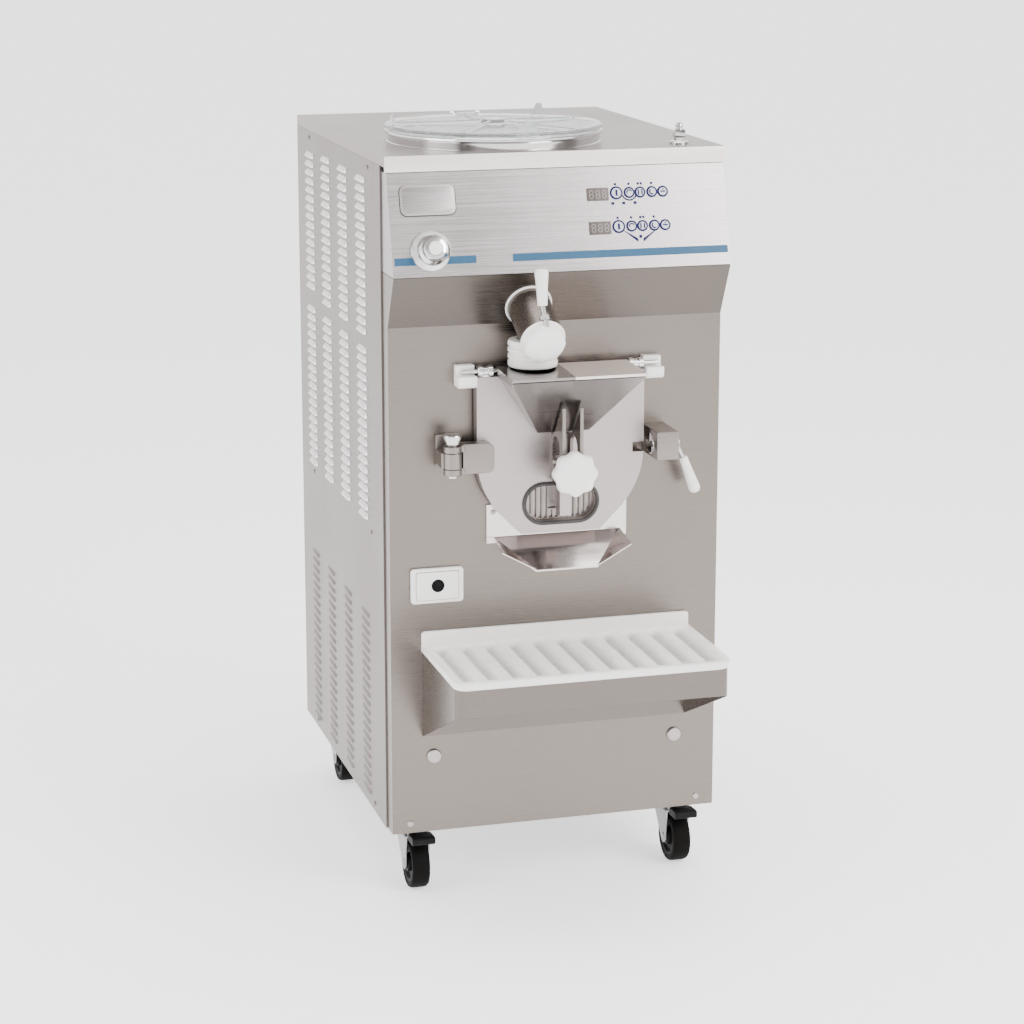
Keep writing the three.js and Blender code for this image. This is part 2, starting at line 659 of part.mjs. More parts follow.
function lidRod() {
  const parts = [rod([-190, ROD_Y, ROD_Z], [190, ROD_Y, ROD_Z], 4)];
  for (const side of [-1, 1]) {
    parts.push(rod([side * 131, ROD_Y, ROD_Z], [side * 160, ROD_Y, ROD_Z], 10.5));
    const [x0, x1] = side < 0 ? [-155, -136] : [136, 155];
    parts.push(box(x0, x1, -29, -12, DOOR_TOP + 0.4, ROD_Z - 4));
  }
  return join(...parts);
}

function rodBlock(side) {
  const [x0, x1] = side < 0 ? [-198, -163] : [163, 198];
  return prismX([
    [-0.3, 994], [-0.3, 1034], [-19, 1034], [-19, 1016], [-40, 1016], [-40, 1000], [-34, 994],
  ], x0, x1);
}

function hingeBracket() {
  const base = box(-236, -197, -14, -0.3, 846, 905);
  const web = box(-236, -199, HINGE_Y, -12, 850.5, 880);
  const wall = box(-236, -233, HINGE_Y - 12, -12, 850.5, 880);
  const barrel = rod([HINGE_X, HINGE_Y, 850.5], [HINGE_X, HINGE_Y, 880], 17);
  const bore = rod([HINGE_X, HINGE_Y, 840], [HINGE_X, HINGE_Y, 890], 6.4);
  return join(base, web, wall, barrel).subtract(bore);
}

function hingeArm() {
  const parts = [];
  for (const [z0, z1] of [[838, 850], [880.5, 892.5]]) {
    parts.push(rod([HINGE_X, HINGE_Y, z0], [HINGE_X, HINGE_Y, z1], 17));
    parts.push(box(HINGE_X, -190, HINGE_Y - 3, -38, z0, z1));
  }
  parts.push(prismY([
    [-195.5, 838], [-150, 838], [-136, 852], [-136, 880], [-150, 894], [-195.5, 894],
  ], -58, -DOOR_OUTER - 0.3));
  const bore = rod([HINGE_X, HINGE_Y, 830], [HINGE_X, HINGE_Y, 900], 6.4);
  return join(...parts).subtract(bore);
}

function hingePin() {
  return turned([
    [0, 0], [9, 0], [9, 2.5], [6, 3], [6, 60], [12, 60], [18, 78], [16, 80.5], [0, 81],
  ], [HINGE_X, HINGE_Y, 834], [0, 0, 1], 18);
}

add('door_plate', doorPlate(), 'machined');
add('hopper', hopper(), 'brushed');
add('lid_flap', lidFlap(), 'machined');
add('lid_rod', lidRod(), 'bright');
add('rod_block_left', rodBlock(-1), 'white');
add('rod_block_right', rodBlock(1), 'white');
add('hinge_bracket', hingeBracket(), 'machined');
add('hinge_arm', hingeArm(), 'machined');
add('hinge_pin', hingePin(), 'bright');

// ---------------------------------------------------------------- door latch
function latchBlock() {
  const block = box(169, 213, -88, -0.3, 848, 901);
  return block.subtract(rod([160, LATCH_Y, LATCH_Z], [220, LATCH_Y, LATCH_Z], 21.3));
}

function latchShaft() {
  const pinY = LATCH_Y + LATCH_THROW_Y;
  const pinZ = LATCH_Z + LATCH_THROW_Z;
  const drum = rod([169, LATCH_Y, LATCH_Z], [214, LATCH_Y, LATCH_Z], 20.9);
  const collar = rod([213.4, LATCH_Y, LATCH_Z], [216, LATCH_Y, LATCH_Z], 23);
  const pin = rod([165.2, pinY, pinZ], [172, pinY, pinZ], 6.5);
  const tip = rod([163.3, pinY, pinZ], [165.4, pinY, pinZ], 4.5, 6.5);
  const stub = rod([214, LATCH_Y, LATCH_Z], [226, LATCH_Y, LATCH_Z], 6);
  const arm = rod([222, LATCH_Y, LATCH_Z + 1], [234, LATCH_Y, 843.8], 4.5);
  return join(drum, collar, pin, tip, stub, arm);
}

function latchGrip() {
  const dir = [27, 0, -69.5];
  const long = Math.hypot(dir[0], dir[2]);
  return turned([
    [0, 0.6], [6, 0.6], [8, 3], [8.5, long * 0.3], [11, long * 0.85], [9.5, long - 3], [6, long], [0, long],
  ], [234, LATCH_Y, 843.5], dir, 24);
}

add('latch_block', latchBlock(), 'machined');
add('latch_shaft', latchShaft(), 'bright');
add('latch_grip', latchGrip(), 'white');

// ---------------------------------------------------------------- outlet gate
function gateBracket() {
  const fin = [
    [-30.3, 822], [-30.3, 900], [-48, 902], [-106, 960], [-106, 820], [-94, 808], [-44, 808],
  ];
  const oval = arc(-65, 878, 23, 0, 180, 10).concat(arc(-65, 858, 23, 180, 360, 10));
  const window = prismX(oval, -30, 30);
  const left = prismX(fin, -20, -14).subtract(window);
  const right = prismX(fin, 14, 20).subtract(window);
  return join(left, right, box(-20, 20, -34, -30.3, 858, 900));
}

function gateShutter() {
  const blade = box(-74, 74, -11, -8, 728, 804);
  const stem = box(-8, 8, -38, -9, 766, 796);
  const bar = box(-11, 11, -61, -35.3, 748, 850);
  const socket = rod([0, -48, 841], [0, -70, 841], 6.5);
  return join(blade, stem, bar).subtract(socket);
}

function gateKnob() {
  const outline = Array.from({ length: 40 }, (_, i) => {
    const t = (i * 2 * Math.PI) / 40;
    const r = 40.4 + 2.6 * Math.cos(8 * t);
    return [r * Math.cos(t), 841 + r * Math.sin(t)];
  });
  const star = prismY(outline, -130, -110);
  const face = rod([0, -129, 841], [0, -133.5, 841], 37, 31);
  const neck = rod([0, -111, 841], [0, -107, 841], 34, 24);
  const shaft = rod([0, -108, 841], [0, -61.6, 841], 9);
  const spigot = rod([0, -63, 841], [0, -49, 841], 6.1);
  return join(star, face, neck, shaft, spigot);
}

function outletGrid() {
  const outer = prismY(stadium(OUTLET_HALF_W - 0.4, OUTLET_HALF_H - 0.4, OUTLET_Z), -17, -12.5);
  const inner = prismY(stadium(OUTLET_HALF_W - 3.4, OUTLET_HALF_H - 3.4, OUTLET_Z), -20, -10);
  const bars = [];
  for (let i = -6; i <= 6; i += 1) {
    const x = i * 10.5;
    bars.push(box(x - 2.2, x + 2.2, -17, -12.5, 720, 812));
  }
  const cage = cut(outer, inner).add(join(...bars).intersect(outer));
  const sill = box(-22, 22, -17, -12.5, 750, 753);
  return cage.subtract(box(-22, 22, -20, -10, 752, 812)).add(sill);
}

function outletSeal() {
  const outer = prismY(stadium(75, 41, OUTLET_Z), -34, -DOOR_OUTER - 0.3);
  const inner = prismY(stadium(OUTLET_HALF_W, OUTLET_HALF_H, OUTLET_Z), -40, -20);
  return cut(outer, inner, box(-10.5, 10.5, -40, -20, 790, 812));
}

// folded apron: flat slide with a wing turned up at each side
function chute() {
  const back = box(-137, 137, -5, -0.3, 690, 764);
  const notch = rod([0, -10, BARREL_Z], [0, 5, BARREL_Z], 143);
  const slideZ = (y) => 702.5 + y * 0.74;
  const sheet = (outline, thickness) => loft(outline, outline.map(([x, y, z]) => [x, y, z + thickness]));
  const parts = [back.subtract(notch)];
  const slide = [[-61, -74], [61, -74], [128, -3], [-128, -3]];
  parts.push(sheet(slide.map(([x, y]) => [x, y, slideZ(y)]), 3));
  for (const side of [-1, 1]) {
    const wing = [[58, -73, 0.5], [126, -73, 38], [124, -3, 0.5]];
    const outline = wing.map(([x, y, rise]) => [side * x, y, slideZ(y) + rise]);
    parts.push(sheet(side > 0 ? outline : outline.reverse(), 2));
  }
  return join(...parts);
}

add('gate_bracket', gateBracket(), 'machined');
add('gate_shutter', gateShutter(), 'machined');
add('gate_knob', gateKnob(), 'white');
add('outlet_grid', outletGrid(), 'machined');
add('outlet_seal', outletSeal(), 'seal');
add('chute', chute(), 'bright');

// ---------------------------------------------------------------- socket box, shelf and tray
function socketBox() {
  const base = prismY(roundedRect(-284, -183, 583, 650, 6), -9, -0.3);
  const frame = prismY(roundedRect(-275, -192, 589, 644, 3), -12, -5);
  return join(base, frame).subtract(rod([-233, -20, 617], [-233, -4, 617], 12));
}

function shelf() {
  const plan = (half, reach, r) => prismZ([
    ...arc(-half + r, -reach + r, r, 180, 270, 5),
    ...arc(half - r, -reach + r, r, 270, 360, 5),
    [half, 0], [-half, 0],
  ], 280, 520);
  const outer = prismX([
    [-0.3, 321], [-0.3, 486], [-SHELF_REACH, 486], [-SHELF_REACH, 433],
  ], -300, 300).intersect(plan(SHELF_HALF_W, SHELF_REACH, 18));
  const inner = box(-300, 300, -400, -2.3, 280, 484)
    .intersect(plan(SHELF_HALF_W - SHEET, SHELF_REACH - SHEET, 16));
  return outer.subtract(inner);
}

function dripTray() {
  const deck = prismZ([
    ...arc(-TRAY_HALF_W + 22, -TRAY_REACH + 22, 22, 180, 270, 6),
    ...arc(TRAY_HALF_W - 22, -TRAY_REACH + 22, 22, 270, 360, 6),
    [TRAY_HALF_W, -0.5], [-TRAY_HALF_W, -0.5],
  ], 486.4, 502);
  const upstand = prismY([
    [-TRAY_HALF_W, 495], [TRAY_HALF_W, 495], [TRAY_HALF_W, 524],
    [TRAY_HALF_W - 4, 529], [-TRAY_HALF_W + 4, 529], [-TRAY_HALF_W, 524],
  ], -6, -0.5);
  const grooves = [];
  for (let i = 0; i < TRAY_GROOVES; i += 1) {
    const x = (i - (TRAY_GROOVES - 1) / 2) * TRAY_PITCH;
    grooves.push(prismY([[x - 17, 503], [x - 9, 494], [x + 9, 494], [x + 17, 503]], -232, -22));
  }
  return cut(deck.add(upstand), ...grooves);
}

add('socket_box', socketBox(), 'white');
add('shelf', shelf(), 'brushed');
add('drip_tray', dripTray(), 'white');

// ---------------------------------------------------------------- casters
function casterFork(x, y, braked) {
  const axleY = y - CASTER_TRAIL;
  const parts = [
    box(x - 24, x + 24, y - 58, y + 22, 105, 109.5),
    rod([x, y, 106], [x, y, 114], 28),
    rod([x, y, 113], [x, y, 123.4], 30, 32),
    rod([x, y, 110], [x, y, 127.5], 8),
    rod([x - 25, axleY, WHEEL_R], [x + 25, axleY, WHEEL_R], 6),
  ];
  for (const side of [-1, 1]) {
    const [x0, x1] = side < 0 ? [x - 24, x - 21] : [x + 21, x + 24];
    parts.push(prismX([
      [y - 58, 109], [y + 20, 109], [y + 10, 88], [axleY + 13, 44],
      [axleY, 38], [axleY - 13, 44], [axleY - 16, 88],
    ], x0, x1));
  }
  if (braked) {
    for (const side of [-1, 1]) {
      const [x0, x1] = side < 0 ? [x - 20, x - 16] : [x + 16, x + 20];
      parts.push(box(x0, x1, y - 73, y - 50, 106, 119));
    }
    parts.push(rod([x - 18, y - 67, 113], [x + 18, y - 67, 113], 3));
  }
  return join(...parts);
}

function casterWheel(x, y) {
  const half = WHEEL_W / 2;
  return turned([
    [6.5, -half - 1.5], [17, -half - 1.5], [19, -half + 3], [37, -half],
    [WHEEL_R - 3, -half], [WHEEL_R, -half + 4], [WHEEL_R, half - 4], [WHEEL_R - 3, half],
    [37, half], [19, half - 3], [17, half + 1.5], [6.5, half + 1.5], [6.5, -half - 1.5],
  ], [x, y - CASTER_TRAIL, WHEEL_R], [1, 0, 0], 20);
}

function brakePedal(x, y) {
  const pivotY = y - 67;
  const plate = prismX([
    [pivotY - 3, 115], [pivotY - 3, 120], [-10, 122], [-15, 119], [-15, 112], [-8, 106], [pivotY - 6, 106],
  ], x - 22.5, x + 22.5);
  const clear = join(
    box(x - 20.6, x - 15.4, pivotY - 8, pivotY + 12, 100, 130),
    box(x + 15.4, x + 20.6, pivotY - 8, pivotY + 12, 100, 130),
  );
  const tongue = rod([x - 15, pivotY, 113], [x + 15, pivotY, 113], 7);
  const bore = rod([x - 30, pivotY, 113], [x + 30, pivotY, 113], 3.4);
  return cut(plate.add(tongue), clear, bore);
}

const CASTERS = [
  ['front_left', -CASTER_X, CASTER_FRONT_Y, true],
  ['front_right', CASTER_X, CASTER_FRONT_Y, true],
  ['rear_left', -CASTER_X, CASTER_REAR_Y, false],
  ['rear_right', CASTER_X, CASTER_REAR_Y, false],
];
for (const [place, x, y, braked] of CASTERS) {
  add(`caster_fork_${place}`, casterFork(x, y, braked), 'zinc');
  add(`caster_wheel_${place}`, casterWheel(x, y), 'tyre');
  if (braked) {
    add(`brake_pedal_${place}`, brakePedal(x, y), 'black');
  }
}

export default machine;
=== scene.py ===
import math

import bmesh
import bpy
from mathutils import Matrix, Vector


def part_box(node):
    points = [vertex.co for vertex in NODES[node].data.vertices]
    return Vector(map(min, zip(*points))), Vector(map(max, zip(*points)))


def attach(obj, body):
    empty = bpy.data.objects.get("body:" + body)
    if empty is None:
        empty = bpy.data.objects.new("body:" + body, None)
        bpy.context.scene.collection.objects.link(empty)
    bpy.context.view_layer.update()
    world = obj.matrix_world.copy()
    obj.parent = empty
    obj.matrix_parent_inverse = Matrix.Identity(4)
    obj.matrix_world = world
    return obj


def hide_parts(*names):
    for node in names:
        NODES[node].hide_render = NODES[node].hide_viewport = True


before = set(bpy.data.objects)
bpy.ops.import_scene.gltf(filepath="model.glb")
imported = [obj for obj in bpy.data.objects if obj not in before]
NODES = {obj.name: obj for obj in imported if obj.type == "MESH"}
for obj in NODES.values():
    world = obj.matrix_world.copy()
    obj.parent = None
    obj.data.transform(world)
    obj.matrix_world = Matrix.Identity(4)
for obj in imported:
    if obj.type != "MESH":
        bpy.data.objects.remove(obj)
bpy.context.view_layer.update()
MM = 0.001
ROOT = "cabinet"
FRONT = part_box("rear_panel")[1][1] - 0.790
X_AXIS, Y_AXIS, Z_AXIS = Vector((1, 0, 0)), Vector((0, 1, 0)), Vector((0, 0, 1))


def at(x, out, z):
    """A point in metres from millimetres: x, distance in front of the cabinet front, height."""
    return Vector((x * MM, FRONT - out * MM, z * MM))


# ------------------------------------------------------------------ camera, light and floor
def camera():
    data = bpy.data.cameras.new("camera")
    data.lens = 95.0
    data.sensor_width = 36.0
    data.shift_y = -0.0586
    obj = bpy.data.objects.new("camera", data)
    bpy.context.collection.objects.link(obj)
    obj.location = (-1.426, FRONT - 4.728, 1.972)
    aim = Vector((-0.0863, FRONT, 0.8614)) - obj.location
    obj.rotation_mode = "QUATERNION"
    obj.rotation_quaternion = aim.to_track_quat("-Z", "Y")
    bpy.context.scene.camera = obj


def area_light(name, place, target, size, power, colour=(1, 1, 1)):
    data = bpy.data.lights.new(name, "AREA")
    data.shape = "RECTANGLE"
    data.size, data.size_y = size
    data.energy = power
    data.color = colour
    obj = bpy.data.objects.new(name, data)
    bpy.context.collection.objects.link(obj)
    obj.location = place
    aim = Vector(target) - Vector(place)
    obj.rotation_mode = "QUATERNION"
    obj.rotation_quaternion = aim.to_track_quat("-Z", "Y")


# direction of each dark card and what is left of the light there
DARK_CARDS = (((-0.76, -0.52, 0.38), 0.10), ((0.93, -0.33, 0.16), 0.18), ((0.02, -0.80, 0.60), 0.40))
SKY_STRENGTH = 2.15
KEY_WATTS, FILL_WATTS, TOP_WATTS = 190, 85, 90


def studio():
    world = bpy.data.worlds.new("studio")
    bpy.context.scene.world = world
    world.use_nodes = True
    tree = world.node_tree
    back = tree.nodes["Background"]
    coord = tree.nodes.new("ShaderNodeTexCoord")
    cloud = tree.nodes.new("ShaderNodeTexNoise")
    cloud.inputs["Scale"].default_value = 1.3
    cloud.inputs["Detail"].default_value = 1.0
    ramp = tree.nodes.new("ShaderNodeValToRGB")
    ramp.color_ramp.elements[0].position = 0.36
    ramp.color_ramp.elements[0].color = (0.80, 0.78, 0.77, 1)
    ramp.color_ramp.elements[1].position = 0.60
    ramp.color_ramp.elements[1].color = (1.0, 0.99, 0.98, 1)
    tree.links.new(coord.outputs["Generated"], cloud.inputs["Vector"])
    tree.links.new(cloud.outputs["Fac"], ramp.inputs["Fac"])
    colour = ramp.outputs["Color"]
    for direction, dark in DARK_CARDS:
        colour = dark_card(tree, coord, colour, direction, dark)
    tree.links.new(colour, back.inputs["Color"])
    back.inputs["Strength"].default_value = SKY_STRENGTH
    area_light("key", (2.6, -3.6, 3.2), (0, -0.3, 0.8), (2.2, 2.2), KEY_WATTS, (1.0, 0.985, 0.97))
    area_light("fill", (-3.8, -1.2, 1.8), (0, 0, 0.8), (2.5, 2.5), FILL_WATTS)
    area_light("top", (0.3, 0.2, 4.2), (0, 0, 1.4), (2.5, 2.5), TOP_WATTS)


def dark_card(tree, coord, colour, direction, dark):
    """Dims the surroundings softly around one direction, as a black studio card does."""
    unit = Vector(direction).normalized()
    dot = tree.nodes.new("ShaderNodeVectorMath")
    dot.operation = "DOT_PRODUCT"
    dot.inputs[1].default_value = unit
    tree.links.new(coord.outputs["Generated"], dot.inputs[0])
    edge = tree.nodes.new("ShaderNodeMapRange")
    edge.interpolation_type = "SMOOTHSTEP"
    edge.inputs["From Min"].default_value = 0.90
    edge.inputs["From Max"].default_value = 0.985
    edge.inputs["To Min"].default_value = 1.0
    edge.inputs["To Max"].default_value = dark
    tree.links.new(dot.outputs["Value"], edge.inputs["Value"])
    scale = tree.nodes.new("ShaderNodeVectorMath")
    scale.operation = "SCALE"
    tree.links.new(colour, scale.inputs["Vector"])
    tree.links.new(edge.outputs["Result"], scale.inputs["Scale"])
    return scale.outputs["Vector"]


# ------------------------------------------------------------------ materials
def shader(name):
    mat = bpy.data.materials.new(name)
    mat.use_nodes = True
    return mat, mat.node_tree, mat.node_tree.nodes["Principled BSDF"]


def noise(tree, stretch, detail=3.0, rough=0.5, kind="Object"):
    coord = tree.nodes.new("ShaderNodeTexCoord")
    place = tree.nodes.new("ShaderNodeMapping")
    place.inputs["Scale"].default_value = stretch
    grain = tree.nodes.new("ShaderNodeTexNoise")
    grain.inputs["Scale"].default_value = 1.0
    grain.inputs["Detail"].default_value = detail
    grain.inputs["Roughness"].default_value = rough
    tree.links.new(coord.outputs[kind], place.inputs["Vector"])
    tree.links.new(place.outputs["Vector"], grain.inputs["Vector"])
    return grain.outputs["Fac"]


def spread(tree, source, low, high, start=0.3, end=0.7):
    node = tree.nodes.new("ShaderNodeMapRange")
    node.inputs["From Min"].default_value = start
    node.inputs["From Max"].default_value = end
    node.inputs["To Min"].default_value = low
    node.inputs["To Max"].default_value = high
    tree.links.new(source, node.inputs["Value"])
    return node.outputs["Result"]


def tinted(tree, source, colour, amount):
    """The base colour, lightened and darkened by amount as the noise changes."""
    ramp = tree.nodes.new("ShaderNodeValToRGB")
    for item, factor in zip(ramp.color_ramp.elements, (1 - amount, 1 + amount)):
        item.color = (*[min(1.0, c * factor) for c in colour], 1)
    ramp.color_ramp.elements[0].position = 0.3
    ramp.color_ramp.elements[1].position = 0.7
    tree.links.new(source, ramp.inputs["Fac"])
    return ramp.outputs["Color"]


def multiply(tree, first, second):
    node = tree.nodes.new("ShaderNodeMix")
    node.data_type = "RGBA"
    node.blend_type = "MULTIPLY"
    node.inputs["Factor"].default_value = 1.0
    tree.links.new(first, node.inputs["A"])
    tree.links.new(second, node.inputs["B"])
    return node.outputs["Result"]


def bump(tree, source, bsdf, strength, depth):
    node = tree.nodes.new("ShaderNodeBump")
    node.inputs["Strength"].default_value = strength
    node.inputs["Distance"].default_value = depth
    tree.links.new(source, node.inputs["Height"])
    tree.links.new(node.outputs["Normal"], bsdf.inputs["Normal"])


def height_shade(tree, colour, kind, low, high, dark):
    """Painted shade: darkens a colour where the Z of a coordinate output falls from high to low."""
    coord = tree.nodes.new("ShaderNodeTexCoord")
    split = tree.nodes.new("ShaderNodeSeparateXYZ")
    tree.links.new(coord.outputs[kind], split.inputs["Vector"])
    shade = tree.nodes.new("ShaderNodeCombineColor")
    for channel in ("Red", "Green", "Blue"):
        tree.links.new(spread(tree, split.outputs["Z"], dark, 1.0, low, high), shade.inputs[channel])
    return multiply(tree, colour, shade.outputs["Color"])


def metal(name, colour, roughness, grain, contrast=0.05, cloud=0.05, strength=0.12, underside_shade=1.0):
    """Sheet or bar metal: fine grain stretched along one direction, and soft blotches of tone: handling
    marks, and on the header painted reflection patches. Faces turned downward get painted shade when the last
    argument is below 1.
    """
    mat, tree, bsdf = shader(name)
    bsdf.inputs["Metallic"].default_value = 1.0
    fine = noise(tree, grain, 4.0, 0.65)
    soft = noise(tree, (3.1, 2.7, 2.3), 3.0)
    shade = multiply(tree, tinted(tree, fine, colour, contrast), tinted(tree, soft, (1, 1, 1), cloud))
    # Painted shade: faces turned downward are darkened, fully where the normal's Z is below -0.4.
    if underside_shade < 1.0:
        shade = height_shade(tree, shade, "Normal", -0.4, -0.05, underside_shade)
    tree.links.new(shade, bsdf.inputs["Base Color"])
    rough = spread(tree, fine, roughness - 0.05, roughness + 0.08)
    smear = spread(tree, soft, -0.04, 0.05)
    total = tree.nodes.new("ShaderNodeMath")
    total.operation = "ADD"
    tree.links.new(rough, total.inputs[0])
    tree.links.new(smear, total.inputs[1])
    tree.links.new(total.outputs["Value"], bsdf.inputs["Roughness"])
    bump(tree, fine, bsdf, strength, 0.0004)
    return mat


def plastic(
    name, colour, roughness, scale=140.0, contrast=0.03, strength=0.06, cloud=0.035, gloss=0.5,
    groove_shade=False,
):
    mat, tree, bsdf = shader(name)
    bsdf.inputs["Specular IOR Level"].default_value = gloss
    fine = noise(tree, (scale, scale, scale), 3.0)
    soft = noise(tree, (9.0, 9.0, 9.0), 3.0)
    shade = multiply(tree, tinted(tree, fine, colour, contrast), tinted(tree, soft, (1, 1, 1), cloud))
    # Painted shade: the tray's channel floors, below the rim, are darkened to 60 %.
    if groove_shade:
        shade = height_shade(tree, shade, "Object", 0.487, 0.4985, 0.60)
    tree.links.new(shade, bsdf.inputs["Base Color"])
    tree.links.new(spread(tree, soft, roughness - 0.05, roughness + 0.08), bsdf.inputs["Roughness"])
    bump(tree, fine, bsdf, strength, 0.0005)
    return mat


def clear_plastic(name):
    mat, tree, bsdf = shader(name)
    fine = noise(tree, (60.0, 60.0, 60.0), 3.0)
    tree.links.new(tinted(tree, fine, (0.93, 0.95, 0.955), 0.04), bsdf.inputs["Base Color"])
    tree.links.new(spread(tree, fine, 0.05, 0.16), bsdf.inputs["Roughness"])
    bsdf.inputs["Transmission Weight"].default_value = 0.92
    bsdf.inputs["IOR"].default_value = 1.25
    bump(tree, fine, bsdf, 0.05, 0.0005)
    return mat


MATS = {
    # Front panel: the last figure, 0.62, paints shade on downward faces such as the slope under the header.
    "panel": metal(
        "brushed_front", (0.205, 0.179, 0.161), 0.29, (5.0, 700.0, 700.0), 0.035, 0.10, 0.06, 0.62,
    ),
    "side": metal("brushed_side", (0.208, 0.181, 0.173), 0.34, (700.0, 700.0, 5.0), 0.035, 0.12, 0.06),
    # Header: a lighter copy of the brushed steel; its strong soft blotches (0.16) are painted reflection
    # patches.
    "header": metal("brushed_header", (0.40, 0.378, 0.378), 0.25, (4.0, 420.0, 420.0), 0.03, 0.16, 0.05),
    "top": metal("brushed_top", (0.270, 0.235, 0.224), 0.30, (5.0, 700.0, 700.0), 0.04, 0.05, 0.06),
    # Painted highlight: a near-white copy of the brushed steel for the top's front lip and the lid flap.
    "flange": metal("brushed_flange_highlight", (0.86, 0.79, 0.76), 0.33, (5.0, 700.0, 700.0), 0.02, 0.03, 0.05),
    # Painted highlight: the louvre hoods take a near-white copy of the side steel.
    "hood": metal("louvre_hood_highlight", (0.84, 0.80, 0.80), 0.42, (300.0, 300.0, 60.0), 0.03, 0.03, 0.05),
    "machined": metal("ground_steel", (0.413, 0.371, 0.367), 0.34, (8.0, 380.0, 380.0), 0.02, 0.05, 0.03),
    "block": metal("milled_steel", (0.245, 0.218, 0.203), 0.30, (40.0, 400.0, 400.0), 0.05, 0.05, 0.06),
    # Shelf: the last figure, 0.60, paints shade on its downward faces.
    "shelf": metal("brushed_shelf", (0.158, 0.137, 0.126), 0.24, (5.0, 600.0, 600.0), 0.04, 0.08, 0.06, 0.60),
    "bright": metal("polished_steel", (0.62, 0.61, 0.605), 0.11, (90.0, 90.0, 90.0), 0.03, 0.03, 0.03),
    "mirror": metal("hopper_sheet", (0.29, 0.268, 0.26), 0.19, (6.0, 300.0, 300.0), 0.04, 0.10, 0.03),
    "apron": metal("apron_sheet", (0.68, 0.63, 0.61), 0.14, (6.0, 300.0, 300.0), 0.04, 0.10, 0.03),
    # Painted shade: near-black steel for the freezing cylinder and beater seen through the door outlet.
    "inner": metal("shaded_inner_steel", (0.09, 0.085, 0.082), 0.35, (40.0, 40.0, 40.0), 0.08),
    "chrome": metal("chrome", (0.72, 0.71, 0.71), 0.05, (60.0, 60.0, 60.0), 0.02, 0.02, 0.02),
    "zinc": metal("zinc_plate", (0.36, 0.36, 0.37), 0.34, (45.0, 45.0, 45.0), 0.08, 0.06, 0.08),
    "white": plastic("white_plastic", (0.88, 0.865, 0.85), 0.36),
    "tray": plastic("tray_plastic", (0.88, 0.865, 0.85), 0.26, 90.0, 0.02, 0.02, 0.02),
    # Tray top: a lighter copy of the tray plastic, with painted shade in its channels.
    "groove_shade": plastic("tray_top_channel_shade", (0.95, 0.93, 0.915), 0.26, 90.0, 0.02, 0.02, 0.02, 0.5, True),
    "black": plastic("black_plastic", (0.004, 0.004, 0.004), 0.5, 220.0, 0.15, 0.12, 0.08, 0.12),
    "tyre": plastic("tyre_rubber", (0.004, 0.0037, 0.0035), 0.6, 260.0, 0.2, 0.2, 0.08, 0.06),
    "seal": plastic("seal_rubber", (0.05, 0.048, 0.047), 0.5, 240.0, 0.12, 0.12, 0.05, 0.3),
    # Near-black for painted shade: louvre mouths, the socket hole and the ring under the spout cuff.
    "dark": plastic("painted_shade_black", (0.006, 0.006, 0.006), 0.8, 200.0, 0.2, 0.1, 0.05, 0.1),
    "blue": plastic("blue_print", (0.022, 0.085, 0.165), 0.4, 120.0, 0.05, 0.02, 0.03, 0.25),
    "ink": plastic("ink_print", (0.007, 0.008, 0.062), 0.4, 160.0, 0.08, 0.02, 0.03, 0.2),
    "pad": plastic("pad_print", (0.58, 0.59, 0.64), 0.34, 160.0, 0.03, 0.02, 0.03, 0.3),
    "screen": plastic("display_window", (0.085, 0.068, 0.064), 0.25, 200.0, 0.1, 0.02, 0.03, 0.3),
    "digit": plastic("display_digits", (0.30, 0.28, 0.27), 0.4, 200.0, 0.05, 0.02, 0.03, 0.2),
    "fins": metal("heat_exchanger", (0.36, 0.30, 0.25), 0.42, (30.0, 30.0, 600.0), 0.10),
    "clear": clear_plastic("clear_lid"),
}
CAD_LOOK = {
    "chassis": "zinc", "front_panel": "panel", "header_panel": "header", "top_panel": "top",
    "left_panel": "side", "right_panel": "side", "rear_panel": "side", "agitator": "bright",
    "agitator_gearmotor": "zinc", "freezing_cylinder": "inner", "beater": "inner",
    "beater_gearmotor": "zinc", "compressor": "black", "condenser": "fins", "cooling_fan": "black",
    "door_plate": "machined", "hopper": "mirror", "lid_flap": "flange", "gate_bracket": "block",
    "gate_shutter": "machined", "outlet_grid": "block", "chute": "apron", "shelf": "shelf",
}


def dress_cad():
    for node, look in CAD_LOOK.items():
        for holder in NODES[node].material_slots:
            holder.material = MATS[look]


def finish_piece(name, mesh, look, body, smooth):
    mesh.materials.append(MATS[look])
    for poly in mesh.polygons:
        poly.use_smooth = smooth > 0
    if smooth > 0:
        mesh.set_sharp_from_angle(angle=math.radians(smooth))
    obj = bpy.data.objects.new(name, mesh)
    bpy.context.collection.objects.link(obj)
    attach(obj, body)
    return obj


def from_bmesh(name, bm, look, body=ROOT, smooth=32):
    bmesh.ops.recalc_face_normals(bm, faces=bm.faces)
    mesh = bpy.data.meshes.new(name)
    bm.to_mesh(mesh)
    bm.free()
    return finish_piece(name, mesh, look, body, smooth)


def frame_of(axis, hint=Z_AXIS):
    w = Vector(axis).normalized()
    if abs(w.dot(hint)) > 0.95:
        hint = X_AXIS
    u = hint.cross(w).normalized()
    return u, w.cross(u), w


